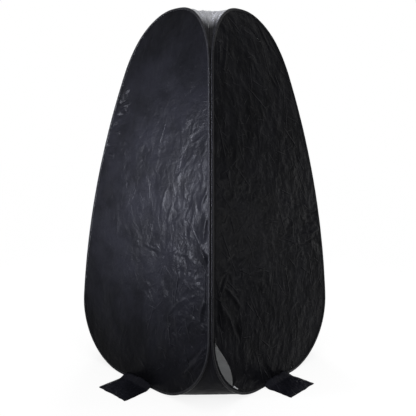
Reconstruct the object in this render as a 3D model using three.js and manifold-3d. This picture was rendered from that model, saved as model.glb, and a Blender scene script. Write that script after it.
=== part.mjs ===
import * as THREE from "three";
import Module from "manifold-3d";

// Portable fitting room: four sprung wire loops in cloth sleeves meet along the corners.
// Millimetres, +Z up, floor at zero, the door wall faces -Y.

// The bowed body
const height = 1900;
const footSpan = 1000;
const crownDrop = 150;
const shoulderLeanShare = 0.3535;
const crownLeanShare = 0.158;
const footCornerRadius = 340;
const loopCrownRise = 330;
const crownExponent = 2.55;
const profileOverrunShare = 1.02;

// Cloth, and the sleeve section: reach out of the wall's middle line and half thickness
const clothThickness = 1;
const sleeveTipReach = 4.9;
const sleeveTipHalf = 3;
const sleeveBellyReach = 2.6;
const sleeveBellyHalf = 4.8;
const sleeveMouthReach = 8;
const sleeveMouthHalf = 1.9;
const sleeveClothThickness = 1;
const cornerGap = 0.7;
const panelTuck = 3.2;

// Spring wire and the crimped tube that joins its ends
const wireRadius = 1.75;
const ferruleBore = 2.05;
const ferruleRadius = 2.6;
const ferruleLength = 40;

// Roof and floor cloth
const sheetEdgeReach = 4.4;
const sheetEdgeDepth = 3.7;
const roofSagShare = 0.06;

// Door: a zip track from the foot, round the left corner and over the top
const trackInset = 20;
const trackFootPast = 12;
const trackTopReach = 90;
const doorShoulderDrop = 750;
const doorTopDrop = 80;
const doorExponent = 1.8;
const doorClothInset = 5.2;
const foldGap = 0.3;

// Open part of the zip between its two sliders
const upperSliderHeight = 357;
const lowerSliderAngle = 36.5;
const gapWidth = 55;
const tapeRelief = 4.2;
const reliefBlend = 30;
const sliderReliefReach = 14;
const pullReliefReach = 44;

// Zip tapes
const tapeEdge = 1.1;
const tapeNeck = 3.1;
const tapeWidth = 9.5;
const tapeTop = 0.9;
const tapeBottom = 1.7;
const coilTop = 0.1;
const coilBottom = 1.9;
const tapeEndGap = 2;

// Zip slider
const sliderLength = 13;
const sliderHalfWidth = 4.4;
const sliderWaistHalf = 3.4;
const sliderPlateBottom = 0.4;
const sliderPlateTop = 2.2;
const sliderBackTop = 2.4;
const sliderBackBottom = 3.9;
const sliderPostHalf = 0.5;
const sliderPostReach = 3;
const bailHalfLength = 3.2;
const bailHalfWidth = 1;
const bailTop = 6.3;
const bailHoleHalf = 1.2;
const weldOverlap = 0.2;

// Pull tab
const pullPivot = 4.3;
const pullHalfThickness = 0.6;
const pullBarHalf = 0.6;
const pullWindowEnd = 5.2;
const pullWindowHalf = 1.5;
const pullHalfWidth = 2.6;
const pullTipHalf = 1.8;
const pullLength = 30;

// End stop
const stopHalfLength = 3;
const stopHalfWidth = 4;
const stopBottom = 0.8;
const stopTop = 2.8;
const stopBevel = 0.6;
const stopOffset = 14;

// Weight pockets lying at the foot of each wall
const pocketWidth = 210;
const pocketReach = 172;
const pocketThickness = 5;
const pocketBelly = 2;
const pocketCorner = 14;
const pocketBevel = 3;
const pocketGap = 0.4;

// Steps along the curves
const profileSteps = 400;
const cornerSteps = 10;
const sideSteps = 14;
const crownSteps = 11;
const spanSteps = 4;
const trackCornerSteps = 18;
const trackSideSteps = 12;
const trackTopSteps = 20;
const roundSteps = 4;
const tubeSides = 6;
const ferruleSides = 16;

// Distance of a wall from the middle at a height, and its slope there
const halfSpan = footSpan / 2;
const diagonalFoot = halfSpan * Math.SQRT2;
const shoulderHeight = height - crownDrop;
const cornerArc = shoulderHeight / shoulderLeanShare;
const crownArc = crownDrop / crownLeanShare;
const shoulderCosine = Math.sqrt(1 - shoulderLeanShare ** 2);
const diagonalShoulder = diagonalFoot - cornerArc * (1 - shoulderCosine);

function leanSine(z) {
  if (z <= shoulderHeight) return z / cornerArc;
  return shoulderLeanShare + (z - shoulderHeight) / crownArc;
}

function wallReach(z) {
  const cosine = Math.sqrt(1 - leanSine(z) ** 2);
  if (z <= shoulderHeight) return (diagonalFoot - cornerArc * (1 - cosine)) / Math.SQRT2;
  return (diagonalShoulder - crownArc * (shoulderCosine - cosine)) / Math.SQRT2;
}

function wallSlope(z) {
  const sine = leanSine(z);
  return -sine / Math.sqrt(1 - sine ** 2) / Math.SQRT2;
}

// Length along the wall's upright profile against height
const profile = [{ z: 0, s: 0 }];
for (let i = 1; i <= profileSteps; i += 1) {
  const last = profile[i - 1];
  const z = (height * profileOverrunShare * i) / profileSteps;
  const rise = z - last.z;
  const s = last.s + rise * Math.hypot(1, wallSlope((z + last.z) / 2));
  profile.push({ z, s });
}

function readProfile(value, from, to) {
  if (value <= 0) return value;
  let i = 1;
  while (i < profileSteps && profile[i][from] < value) i += 1;
  const low = profile[i - 1];
  const high = profile[i];
  const share = (value - low[from]) / (high[from] - low[from]);
  return low[to] + share * (high[to] - low[to]);
}

const alongAt = (z) => readProfile(z, "z", "s");
const heightAt = (s) => readProfile(s, "s", "z");

// A point of the door wall: across, along its profile and out of its face
function wallNormal(s) {
  return new THREE.Vector3(0, -1, -wallSlope(Math.max(heightAt(s), 0))).normalize();
}

function wallPoint(x, s, out) {
  const z = heightAt(s);
  const point = new THREE.Vector3(x, -wallReach(Math.max(z, 0)), z);
  return point.addScaledVector(wallNormal(s), out);
}

// Closed solids from points and triangles
function solid(points, triangles) {
  let volume = 0;
  for (const [a, b, c] of triangles) {
    const cross = new THREE.Vector3().crossVectors(points[b], points[c]);
    volume += points[a].dot(cross);
  }
  const index = [];
  for (const [a, b, c] of triangles) {
    if (volume > 0) index.push(a, b, c);
    else index.push(a, c, b);
  }
  const geometry = new THREE.BufferGeometry();
  const values = points.flatMap((p) => [p.x, p.y, p.z]);
  geometry.setAttribute("position", new THREE.Float32BufferAttribute(values, 3));
  geometry.setIndex(index);
  return geometry;
}

function quadAsTriangles(a, b, c, d) {
  return [[a, b, c], [a, c, d]];
}

// Rings of equal count joined in order; open ones get flat caps
function ringSolid(rings, capOutline) {
  const count = rings[0].length;
  const points = rings.flat();
  const triangles = [];
  const bands = capOutline ? rings.length - 1 : rings.length;
  for (let i = 0; i < bands; i += 1) {
    const here = i * count;
    const next = ((i + 1) % rings.length) * count;
    for (let j = 0; j < count; j += 1) {
      const k = (j + 1) % count;
      triangles.push(...quadAsTriangles(here + j, here + k, next + k, next + j));
    }
  }
  if (capOutline) {
    const last = (rings.length - 1) * count;
    const outline = capOutline.map(([x, y]) => new THREE.Vector2(x, y));
    const forward = Math.sign(THREE.ShapeUtils.area(outline));
    for (const face of THREE.ShapeUtils.triangulateShape(outline, [])) {
      const way = Math.sign(THREE.ShapeUtils.area(face.map((i) => outline[i])));
      const [a, b, c] = way === forward ? face : [...face].reverse();
      triangles.push([c, b, a], [last + a, last + b, last + c]);
    }
  }
  return solid(points, triangles);
}

// A sheet of cloth thickened to both sides along given directions
function sheetSolid(points, normals, faces) {
  const half = clothThickness / 2;
  const outer = points.map((p, i) => p.clone().addScaledVector(normals[i], half));
  const inner = points.map((p, i) => p.clone().addScaledVector(normals[i], -half));
  const count = points.length;
  const triangles = [];
  const edges = new Map();
  for (const [a, b, c] of faces) {
    triangles.push([a, b, c], [a + count, c + count, b + count]);
    for (const [p, q] of [[a, b], [b, c], [c, a]]) {
      if (edges.has(`${q} ${p}`)) edges.delete(`${q} ${p}`);
      else edges.set(`${p} ${q}`, [p, q]);
    }
  }
  for (const [p, q] of edges.values()) {
    triangles.push([q, p, p + count], [q, p + count, q + count]);
  }
  return solid([...outer, ...inner], triangles);
}

// Loop of the door wall: half of it, bottom middle to top middle
const edgeInset = sleeveTipReach + sleeveTipHalf + cornerGap;
const footAlong = sleeveTipReach;

function sideReach(z) {
  return wallReach(z) - edgeInset;
}

function cornerJoin() {
  let turn = 0;
  let along = footAlong + footCornerRadius;
  for (let i = 0; i < roundSteps * roundSteps; i += 1) {
    turn = Math.atan(-wallSlope(heightAt(along)));
    along = footAlong + footCornerRadius * (1 + Math.sin(turn));
  }
  const centre = sideReach(heightAt(along)) - footCornerRadius * Math.cos(turn);
  return { turn, along, centre };
}

const join = cornerJoin();
const topSlope = wallSlope(height);
const topRise = (sleeveTipReach - sleeveTipHalf * topSlope) / Math.hypot(1, topSlope);
const loopTop = height - topRise;
const crownStart = height - loopCrownRise;

function crownPoint(share) {
  const angle = (share * Math.PI) / 2;
  const power = 2 / crownExponent;
  const z = crownStart + (loopTop - crownStart) * Math.sin(angle) ** power;
  const x = sideReach(z) * Math.max(Math.cos(angle), 0) ** power;
  return { x: share === 1 ? 0 : x, s: alongAt(z) };
}

function cornerPoint(share, radius) {
  const angle = -Math.PI / 2 + share * (Math.PI / 2 + join.turn);
  const x = join.centre + radius * Math.cos(angle);
  return { x, s: footAlong + footCornerRadius + radius * Math.sin(angle) };
}

const halfLoop = [{ x: 0, s: footAlong }];
for (let i = 0; i <= cornerSteps; i += 1) {
  halfLoop.push(cornerPoint(i / cornerSteps, footCornerRadius));
}
const crownZero = alongAt(crownStart);
for (let i = 1; i <= sideSteps; i += 1) {
  const s = join.along + ((crownZero - join.along) * i) / sideSteps;
  halfLoop.push({ x: sideReach(heightAt(s)), s });
}
for (let i = 1; i <= crownSteps; i += 1) halfLoop.push(crownPoint(i / crownSteps));

// Outward direction at each point, in the wall's own flat pattern
function addNormals(points, way) {
  for (let i = 0; i < points.length; i += 1) {
    const before = points[Math.max(i - 1, 0)];
    const after = points[Math.min(i + 1, points.length - 1)];
    const here = points[i];
    const back = Math.hypot(here.x - before.x, here.s - before.s) || 1;
    const ahead = Math.hypot(after.x - here.x, after.s - here.s) || 1;
    const tx = (here.x - before.x) / back + (after.x - here.x) / ahead;
    const ts = (here.s - before.s) / back + (after.s - here.s) / ahead;
    const size = Math.hypot(tx, ts);
    here.nx = (way * ts) / size;
    here.ns = (-way * tx) / size;
  }
}

addNormals(halfLoop, 1);
const loopEnd = halfLoop.length - 1;
Object.assign(halfLoop[0], { nx: 0, ns: -1 });
Object.assign(halfLoop[loopEnd], { nx: 0, ns: 1 });
const cornerFirst = halfLoop.findIndex((p) => p.x > 0);
const cornerLast = cornerSteps + 1;
const crownFirst = cornerLast + sideSteps;
Object.assign(halfLoop[cornerFirst], { nx: 0, ns: -1 });

const mirrored = (p) => ({ x: -p.x, s: p.s, nx: -p.nx, ns: p.ns });
const leftHalf = halfLoop.slice(1, loopEnd).reverse().map(mirrored);
const wholeLoop = [...halfLoop, ...leftHalf];

const offsetPoint = (p, reach, out) => wallPoint(p.x + reach * p.nx, p.s + reach * p.ns, out);

function loopSolid(section) {
  return ringSolid(wholeLoop.map((p) => section.map(([u, v]) => offsetPoint(p, u, v))));
}

const sleeveOuter = [
  [-sleeveMouthReach, sleeveMouthHalf],
  [-sleeveBellyReach, sleeveBellyHalf],
  [sleeveTipReach, sleeveTipHalf],
];
const innerMouth = sleeveMouthHalf - sleeveClothThickness;
const innerBelly = sleeveBellyHalf - sleeveClothThickness;
const innerTip = sleeveTipHalf - sleeveClothThickness * (sleeveTipHalf / sleeveBellyHalf);
const sleeveInner = [
  [sleeveTipReach - sleeveClothThickness, innerTip],
  [-sleeveBellyReach, innerBelly],
  [-sleeveMouthReach, innerMouth],
];
const across = (list) => list.map(([u, v]) => [u, -v]);
const sleeveSection = [
  ...sleeveOuter,
  ...across(sleeveOuter).reverse(),
  ...across(sleeveInner).reverse(),
  ...sleeveInner,
];

const wireSection = [];
for (let i = 0; i < tubeSides; i += 1) {
  const angle = ((i + 0.5) * 2 * Math.PI) / tubeSides;
  wireSection.push([wireRadius * Math.cos(angle), wireRadius * Math.sin(angle)]);
}

// Wall panel of level rulings between the two sides of the loop
function panelSheet() {
  const points = [];
  const normals = [];
  const faces = [];
  for (let i = cornerFirst; i < loopEnd; i += 1) {
    const p = halfLoop[i];
    const x = p.x - panelTuck * p.nx;
    const s = p.s - panelTuck * p.ns;
    points.push(wallPoint(-x, s, 0), wallPoint(x, s, 0));
    normals.push(wallNormal(s), wallNormal(s));
  }
  const top = halfLoop[loopEnd].s - panelTuck;
  points.push(wallPoint(0, top, 0));
  normals.push(wallNormal(top));
  const rows = loopEnd - cornerFirst;
  for (let i = 0; i < rows - 1; i += 1) {
    const a = 2 * i;
    faces.push(...quadAsTriangles(a, a + 1, a + 3, a + 2));
  }
  faces.push([2 * rows - 2, 2 * rows - 1, 2 * rows]);
  return sheetSolid(points, normals, faces);
}

// Zip track in the wall's flat pattern, from the foot's right round to the top
const doorShoulder = height - doorShoulderDrop;
const doorTop = height - doorTopDrop;

function trackSide(z) {
  return -(sideReach(z) - trackInset);
}

function trackTop(share) {
  const angle = (share * Math.PI) / 2;
  const power = 2 / doorExponent;
  const z = doorShoulder + (doorTop - doorShoulder) * Math.sin(angle) ** power;
  const flat = Math.sign(Math.cos(angle)) * Math.abs(Math.cos(angle)) ** power;
  return { x: trackSide(z) * flat, s: alongAt(z) };
}

function topShareAt(x) {
  let low = 1;
  let high = 2;
  for (let i = 0; i < profileSteps; i += 1) {
    const middle = (low + high) / 2;
    if (trackTop(middle).x < x) low = middle;
    else high = middle;
  }
  return low;
}

const trackAlong = footAlong + trackInset;
const trackRadius = footCornerRadius - trackInset;
const trackFootEnd = join.centre + trackFootPast;
const track = [{ x: trackFootEnd, s: trackAlong }, { x: 0, s: trackAlong }];
for (let i = 0; i <= trackCornerSteps; i += 1) {
  const p = cornerPoint(i / trackCornerSteps, trackRadius);
  track.push({ x: -p.x, s: p.s });
}
const sideFrom = track[track.length - 1].s;
const sideTo = alongAt(doorShoulder);
for (let i = 1; i <= trackSideSteps; i += 1) {
  const s = sideFrom + ((sideTo - sideFrom) * i) / trackSideSteps;
  track.push({ x: trackSide(heightAt(s)), s });
}
const topShareEnd = topShareAt(trackTopReach);
for (let i = 1; i <= trackTopSteps; i += 1) {
  track.push(trackTop((topShareEnd * i) / trackTopSteps));
}

function measureTrack() {
  addNormals(track, -1);
  track[0].length = 0;
  for (let i = 1; i < track.length; i += 1) {
    const step = Math.hypot(track[i].x - track[i - 1].x, track[i].s - track[i - 1].s);
    track[i].length = track[i - 1].length + step;
  }
}

measureTrack();
const trackLength = track[track.length - 1].length;

function pathAt(points, length) {
  let i = 1;
  while (i < points.length - 1 && points[i].length < length) i += 1;
  const a = points[i - 1];
  const b = points[i];
  const share = (length - a.length) / (b.length - a.length);
  const mix = (key) => a[key] + share * (b[key] - a[key]);
  const size = Math.hypot(mix("nx"), mix("ns"));
  return { x: mix("x"), s: mix("s"), nx: mix("nx") / size, ns: mix("ns") / size, length };
}

// Where the sliders stand, as lengths along the track
const footLengths = track[2].length;
const lowerTurn = (lowerSliderAngle * Math.PI) / 180;
const lowerLength = footLengths + trackRadius * lowerTurn;
const cornerLength = track[2 + trackCornerSteps].length;
const upperLength = cornerLength + alongAt(upperSliderHeight) - sideFrom;

function smoothShare(value, from, to) {
  const share = Math.min(Math.max((value - from) / (to - from), 0), 1);
  return share * share * (3 - 2 * share);
}

// How far the door cloth stands back from the track at a length along it
function standBack(length) {
  const low = lowerLength - pullReliefReach;
  const high = upperLength + sliderReliefReach;
  const rise = smoothShare(length, low - reliefBlend, low);
  const fall = 1 - smoothShare(length, high, high + reliefBlend);
  const span = upperLength - lowerLength - 2 * sliderReliefReach;
  const inside = (length - lowerLength - sliderReliefReach) / span;
  if (inside <= 0 || inside >= 1) return tapeRelief * rise * fall;
  const bulge = Math.sin(Math.PI * inside ** 0.8) ** 0.8;
  return tapeRelief + (gapWidth - tapeRelief) * bulge;
}

const leafTrack = [];
for (let i = 0; i < track.length; i += 1) {
  const p = track[i];
  const back = standBack(p.length);
  leafTrack.push({ x: p.x - back * p.nx, s: p.s - back * p.ns, length: p.length });
}
addNormals(leafTrack, -1);

// Flat outlines of the doorway and the leaf, cut off at the fold
const foldFoot = wallPoint(track[0].x, track[0].s, 0);
const foldTop = wallPoint(track[track.length - 1].x, track[track.length - 1].s, 0);
const foldX = (z) => foldFoot.x + ((foldTop.x - foldFoot.x) * (z - foldFoot.z)) / (foldTop.z - foldFoot.z);

function doorOutline(points, inset, gap) {
  const outline = points.map((p) => {
    const place = offsetPoint(p, inset, 0);
    return [place.x, place.z];
  });
  const first = outline[0];
  const last = outline[outline.length - 1];
  const ring = [[halfSpan, first[1]], ...outline, [halfSpan, last[1]]];
  const side = ([x, z]) => x - foldX(z) - gap;
  const kept = [];
  for (let i = 0; i < ring.length; i += 1) {
    const a = ring[i];
    const b = ring[(i + 1) % ring.length];
    const sa = side(a);
    const sb = side(b);
    if (sa <= 0) kept.push(a);
    if (sa <= 0 === sb > 0) {
      const share = sa / (sa - sb);
      kept.push([a[0] + share * (b[0] - a[0]), a[1] + share * (b[1] - a[1])]);
    }
  }
  return kept;
}

function prism(outline) {
  const near = outline.map(([x, z]) => new THREE.Vector3(x, -footSpan, z));
  const far = outline.map(([x, z]) => new THREE.Vector3(x, 0, z));
  return ringSolid([near, far], outline);
}

// Solid work
const wasm = await Module();
wasm.setup();

function toManifold(geometry) {
  const vertProperties = new Float32Array(geometry.attributes.position.array);
  const triVerts = new Uint32Array(geometry.index.array);
  return new wasm.Manifold(new wasm.Mesh({ numProp: 3, vertProperties, triVerts }));
}

function fromManifold(shape) {
  const mesh = shape.getMesh();
  const geometry = new THREE.BufferGeometry();
  const values = new Float32Array(mesh.vertProperties);
  geometry.setAttribute("position", new THREE.BufferAttribute(values, 3));
  geometry.setIndex(new THREE.BufferAttribute(new Uint32Array(mesh.triVerts), 1));
  return geometry;
}

const panel = panelSheet();
const doorway = prism(doorOutline(track, doorClothInset, foldGap));
const leafCut = prism(doorOutline(leafTrack, -doorClothInset, -foldGap));
const frontWall = fromManifold(toManifold(panel).subtract(toManifold(doorway)));
const doorLeaf = fromManifold(toManifold(panel).intersect(toManifold(leafCut)));

// Zip tapes: a flat band with a raised coil along the meeting edge
const frameTapeSection = [
  [tapeEdge, -coilTop],
  [tapeEdge, -coilBottom],
  [tapeNeck, -coilBottom],
  [tapeNeck, -tapeBottom],
  [tapeWidth, -tapeBottom],
  [tapeWidth, -tapeTop],
  [tapeNeck, -tapeTop],
  [tapeNeck, -coilTop],
];
const leafTapeSection = frameTapeSection.map(([q, v]) => [-q, v]);

// The part of a path that a tape of this reach takes up, short of the fold at both ends
function tapePath(points, reach) {
  const isClear = (p) => [0, reach].every((q) => {
    const place = offsetPoint(p, q, 0);
    return place.x < foldX(place.z) - tapeEndGap;
  });
  const path = [{ ...points[0], x: points[0].x - tapeEndGap }];
  let i = 1;
  while (isClear(points[i])) {
    path.push(points[i]);
    i += 1;
  }
  let low = points[i - 1].length;
  let high = points[i].length;
  while (high - low > tapeEndGap / trackTopSteps) {
    const middle = (low + high) / 2;
    if (isClear(pathAt(points, middle))) low = middle;
    else high = middle;
  }
  path.push(pathAt(points, low));
  return path;
}

function tapeSolid(points, section) {
  const rings = points.map((p) => section.map(([q, v]) => offsetPoint(p, q, v)));
  return ringSolid(rings, section);
}

const frameTapePath = tapePath(track, tapeWidth);
const leafTapePath = tapePath(leafTrack, -tapeWidth);

// Small fittings are drawn with their length along the track, then set in place
function trackFrame(length) {
  const p = pathAt(track, length);
  const origin = wallPoint(p.x, p.s, 0);
  const normal = wallNormal(p.s);
  const outward = offsetPoint(p, 1, 0).sub(offsetPoint(p, -1, 0)).normalize();
  const travel = new THREE.Vector3().crossVectors(outward, normal).normalize();
  const level = new THREE.Vector3().crossVectors(normal, travel);
  return new THREE.Matrix4().makeBasis(travel, level, normal).setPosition(origin);
}

function slab(outline, bottom, top) {
  const low = outline.map(([t, q]) => new THREE.Vector3(t, q, bottom));
  const high = outline.map(([t, q]) => new THREE.Vector3(t, q, top));
  return ringSolid([low, high], outline);
}

const halfBox = (t, q) => [[-t, -q], [t, -q], [t, q], [-t, q]];

const sliderEnd = sliderLength / 2;
const sliderOutline = [
  [-sliderEnd, -sliderWaistHalf],
  [-sliderEnd / 2, -sliderHalfWidth],
  [sliderEnd / 2, -sliderHalfWidth],
  [sliderEnd, -sliderWaistHalf],
  [sliderEnd, sliderWaistHalf],
  [sliderEnd / 2, sliderHalfWidth],
  [-sliderEnd / 2, sliderHalfWidth],
  [-sliderEnd, sliderWaistHalf],
];

function sliderSolid() {
  const plate = toManifold(slab(sliderOutline, sliderPlateBottom, sliderPlateTop));
  const back = toManifold(slab(sliderOutline, -sliderBackBottom, -sliderBackTop));
  const postOutline = halfBox(sliderPostReach, sliderPostHalf);
  const postBottom = -sliderBackTop - weldOverlap;
  const post = toManifold(slab(postOutline, postBottom, sliderPlateBottom + weldOverlap));
  const bailOutline = halfBox(bailHalfLength, bailHalfWidth);
  const bail = toManifold(slab(bailOutline, sliderPlateTop - weldOverlap, bailTop));
  const holeOutline = halfBox(bailHoleHalf, bailHalfWidth + weldOverlap);
  const hole = toManifold(slab(holeOutline, pullPivot - bailHoleHalf, pullPivot + bailHoleHalf));
  return fromManifold(plate.add(post).add(back).add(bail.subtract(hole)));
}

const pullOutline = [
  [-pullLength, -pullTipHalf],
  [-pullWindowEnd - pullHalfWidth, -pullHalfWidth],
  [pullBarHalf, -pullHalfWidth],
  [pullBarHalf, pullHalfWidth],
  [-pullWindowEnd - pullHalfWidth, pullHalfWidth],
  [-pullLength, pullTipHalf],
];
const windowOutline = [
  [-pullWindowEnd, -pullWindowHalf],
  [-pullBarHalf, -pullWindowHalf],
  [-pullBarHalf, pullWindowHalf],
  [-pullWindowEnd, pullWindowHalf],
];

function pullSolid() {
  const bottom = pullPivot - pullHalfThickness;
  const top = pullPivot + pullHalfThickness;
  const plate = toManifold(slab(pullOutline, bottom, top));
  const opening = slab(windowOutline, bottom - weldOverlap, top + weldOverlap);
  return fromManifold(plate.subtract(toManifold(opening)));
}

function stopSolid() {
  const ring = (half, wide, v) => halfBox(half, wide).map(([t, q]) => new THREE.Vector3(t, q, v));
  const outline = halfBox(stopHalfLength, stopHalfWidth);
  const shoulder = stopTop - stopBevel;
  const rings = [
    ring(stopHalfLength, stopHalfWidth, stopBottom),
    ring(stopHalfLength, stopHalfWidth, shoulder),
    ring(stopHalfLength - stopBevel, stopHalfWidth - stopBevel, stopTop),
  ];
  return ringSolid(rings, outline);
}

// Roof and floor cloth between the loops of neighbouring walls
function edgePair(index) {
  const p = mirrored(halfLoop[index]);
  const front = offsetPoint(p, sheetEdgeReach, -sheetEdgeDepth);
  return [front, new THREE.Vector3(front.y, front.x, front.z)];
}

function ruling(index, sagShare, dropShare) {
  const [from, to] = edgePair(index);
  const inward = new THREE.Vector3(1, 1, 0).normalize().multiplyScalar(1 - dropShare);
  const sagWay = inward.add(new THREE.Vector3(0, 0, -dropShare)).normalize();
  const row = [];
  for (let i = 0; i <= spanSteps; i += 1) {
    const share = i / spanSteps;
    const sag = 4 * share * (1 - share) * sagShare * from.distanceTo(to);
    row.push(from.clone().lerp(to, share).addScaledVector(sagWay, sag));
  }
  return row;
}

function weldSheet(patches) {
  const points = [];
  const faces = [];
  const seen = new Map();
  const number = (p) => {
    const key = [p.x, p.y, p.z].map((v) => Math.round((v / footSpan) * 1e7)).join(" ");
    if (!seen.has(key)) {
      seen.set(key, points.length);
      points.push(p);
    }
    return seen.get(key);
  };
  for (const rows of patches) {
    for (let i = 0; i + 1 < rows.length; i += 1) {
      for (let j = 0; j + 1 < rows[i].length; j += 1) {
        const a = number(rows[i][j]);
        const b = number(rows[i][j + 1]);
        const c = number(rows[i + 1][j + 1]);
        const d = number(rows[i + 1][j]);
        for (const face of quadAsTriangles(a, b, c, d)) {
          if (new Set(face).size === 3) faces.push(face);
        }
      }
    }
  }
  return { points, faces };
}

function sheetNormals({ points, faces }) {
  const normals = points.map(() => new THREE.Vector3());
  for (const [a, b, c] of faces) {
    const one = points[b].clone().sub(points[a]);
    const two = points[c].clone().sub(points[a]);
    const cross = one.cross(two);
    for (const i of [a, b, c]) normals[i].add(cross);
  }
  return normals.map((n) => n.normalize());
}

function turned(rows, quarter) {
  const axis = new THREE.Vector3(0, 0, 1);
  const angle = (quarter * Math.PI) / 2;
  return rows.map((row) => row.map((p) => p.clone().applyAxisAngle(axis, angle)));
}

function roofSolid() {
  const rows = [];
  for (let i = crownFirst; i <= loopEnd; i += 1) {
    const drop = (i - crownFirst) / crownSteps;
    rows.push(ruling(i, roofSagShare, drop));
  }
  const corners = [0, 1, 2, 3].map((quarter) => turned(rows, quarter));
  const edge = rows[rows.length - 1];
  const [frontToLeft] = turned([edge], 0);
  const [rightToFront] = turned([edge], 1);
  const [backToRight] = turned([edge], 2);
  const [leftToBack] = turned([edge], 3);
  const frontToRight = rightToFront.reverse();
  const rightToBack = backToRight.reverse();
  const middle = [];
  for (let i = 0; i <= spanSteps; i += 1) {
    const u = i / spanSteps;
    const row = [];
    for (let j = 0; j <= spanSteps; j += 1) {
      const v = j / spanSteps;
      const along = frontToLeft[i].clone().lerp(rightToBack[i], v);
      const over = frontToRight[j].clone().lerp(leftToBack[j], u);
      const near = frontToLeft[0].clone().lerp(frontToRight[spanSteps], v);
      const far = frontToLeft[spanSteps].clone().lerp(leftToBack[spanSteps], v);
      row.push(along.add(over).sub(near.lerp(far, u)));
    }
    middle.push(row.reverse());
  }
  const sheet = weldSheet([...corners, middle]);
  return sheetSolid(sheet.points, sheetNormals(sheet), sheet.faces);
}

function floorSolid() {
  const rows = [];
  for (let i = cornerFirst; i <= cornerLast; i += 1) rows.push(ruling(i, 0, 0));
  const corners = [0, 1, 2, 3].map((quarter) => turned(rows, quarter));
  const level = rows[0][0].z;
  const middle = new THREE.Vector3(0, 0, level);
  const fans = [];
  for (let quarter = 0; quarter < 4; quarter += 1) {
    const [edge] = turned([rows[0]], quarter);
    const [next] = turned([rows[0]], quarter + 1);
    const centres = edge.map(() => middle.clone());
    fans.push([centres, edge]);
    fans.push([[middle.clone(), middle.clone()], [next[spanSteps], edge[0]]]);
  }
  const sheet = weldSheet([...corners, ...fans]);
  const normals = sheetNormals(sheet);
  sheet.points.forEach((p, i) => {
    if (p.z - level < clothThickness / profileSteps) normals[i].set(0, 0, Math.sign(normals[i].z));
  });
  return sheetSolid(sheet.points, normals, sheet.faces);
}

// Weight pocket, drawn at the foot of the door wall
function pocketSolid() {
  const flare = (sleeveBellyHalf - sleeveTipHalf) / (sleeveTipReach + sleeveBellyReach);
  const back = -(halfSpan + sleeveTipHalf + flare * pocketBelly + pocketGap);
  const half = pocketWidth / 2;
  const ring = (inset, z) => {
    const radius = pocketCorner - inset;
    const points = [new THREE.Vector3(half - inset, back - inset, z)];
    points.unshift(new THREE.Vector3(-half + inset, back - inset, z));
    const y = back - pocketReach + pocketCorner;
    for (const side of [1, -1]) {
      for (let i = 0; i <= roundSteps; i += 1) {
        const angle = ((side > 0 ? i : roundSteps - i) / roundSteps) * (Math.PI / 2);
        const x = side * (half - pocketCorner + radius * Math.cos(angle));
        points.push(new THREE.Vector3(x, y - radius * Math.sin(angle), z));
      }
    }
    return points;
  };
  const outline = ring(0, 0).map((p) => [p.x, p.y]);
  const rings = [ring(0, 0), ring(0, pocketBelly), ring(pocketBevel, pocketThickness)];
  return ringSolid(rings, outline);
}

// Crimped tube over the wire's ends, on the straight foot of the loop
function ferruleSolid() {
  const half = ferruleLength / 2;
  const outline = [
    [ferruleBore, -half],
    [ferruleRadius, -half],
    [ferruleRadius, half],
    [ferruleBore, half],
    [ferruleBore, -half],
  ];
  const points = outline.map(([r, t]) => new THREE.Vector2(r, t));
  const lathe = new THREE.LatheGeometry(points, ferruleSides);
  lathe.rotateZ(Math.PI / 2);
  const place = wallPoint(0, footAlong, 0);
  lathe.translate(place.x, place.y, place.z);
  lathe.deleteAttribute("uv");
  lathe.deleteAttribute("normal");
  return lathe;
}

// Assembly
const group = new THREE.Group();
group.name = "portable_fitting_room";

function add(name, geometry, color, roughness, metalness) {
  const material = new THREE.MeshStandardMaterial({ color, roughness, metalness });
  const mesh = new THREE.Mesh(geometry, material);
  geometry.computeVertexNormals();
  mesh.name = name;
  group.add(mesh);
}

const wallCloth = 0x1a1b1e;
const sleeveCloth = 0x202127;
const roofCloth = 0x8f9299;
const floorCloth = 0x3a3b40;
const pocketCloth = 0x2b2c31;
const steel = 0x9a9da2;
const zipCloth = 0x121214;
const zipMetal = 0xb9bbbe;
const quarterTurns = { front: 0, right: 1, back: 2, left: 3 };
const sleeve = loopSolid(sleeveSection);
const wire = loopSolid(wireSection);
const ferrule = ferruleSolid();
const pocket = pocketSolid();

for (const [side, quarter] of Object.entries(quarterTurns)) {
  const angle = (quarter * Math.PI) / 2;
  const wall = side === "front" ? frontWall : panel.clone();
  add(`wall_${side}`, wall.rotateZ(angle), wallCloth, 0.62, 0);
  add(`edge_sleeve_${side}`, sleeve.clone().rotateZ(angle), sleeveCloth, 0.6, 0);
  add(`spring_wire_${side}`, wire.clone().rotateZ(angle), steel, 0.35, 0.9);
  add(`wire_ferrule_${side}`, ferrule.clone().rotateZ(angle), steel, 0.45, 0.9);
  add(`weight_pocket_${side}`, pocket.clone().rotateZ(angle), pocketCloth, 0.6, 0);
}

add("roof_sheet", roofSolid(), roofCloth, 0.5, 0);
add("floor_sheet", floorSolid(), floorCloth, 0.65, 0);
add("door_leaf", doorLeaf, wallCloth, 0.62, 0);
add("zip_tape_frame", tapeSolid(frameTapePath, frameTapeSection), zipCloth, 0.7, 0);
add("zip_tape_leaf", tapeSolid(leafTapePath, leafTapeSection), zipCloth, 0.7, 0);
for (const [place, length] of [["upper", upperLength], ["lower", lowerLength]]) {
  const frame = trackFrame(length);
  add(`zip_slider_${place}`, sliderSolid().applyMatrix4(frame), zipMetal, 0.4, 0.8);
  add(`zip_pull_${place}`, pullSolid().applyMatrix4(frame), zipMetal, 0.4, 0.8);
}

function stopFrame(length, beyond) {
  const frame = trackFrame(length);
  return frame.multiply(new THREE.Matrix4().makeTranslation(beyond, 0, 0));
}

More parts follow.
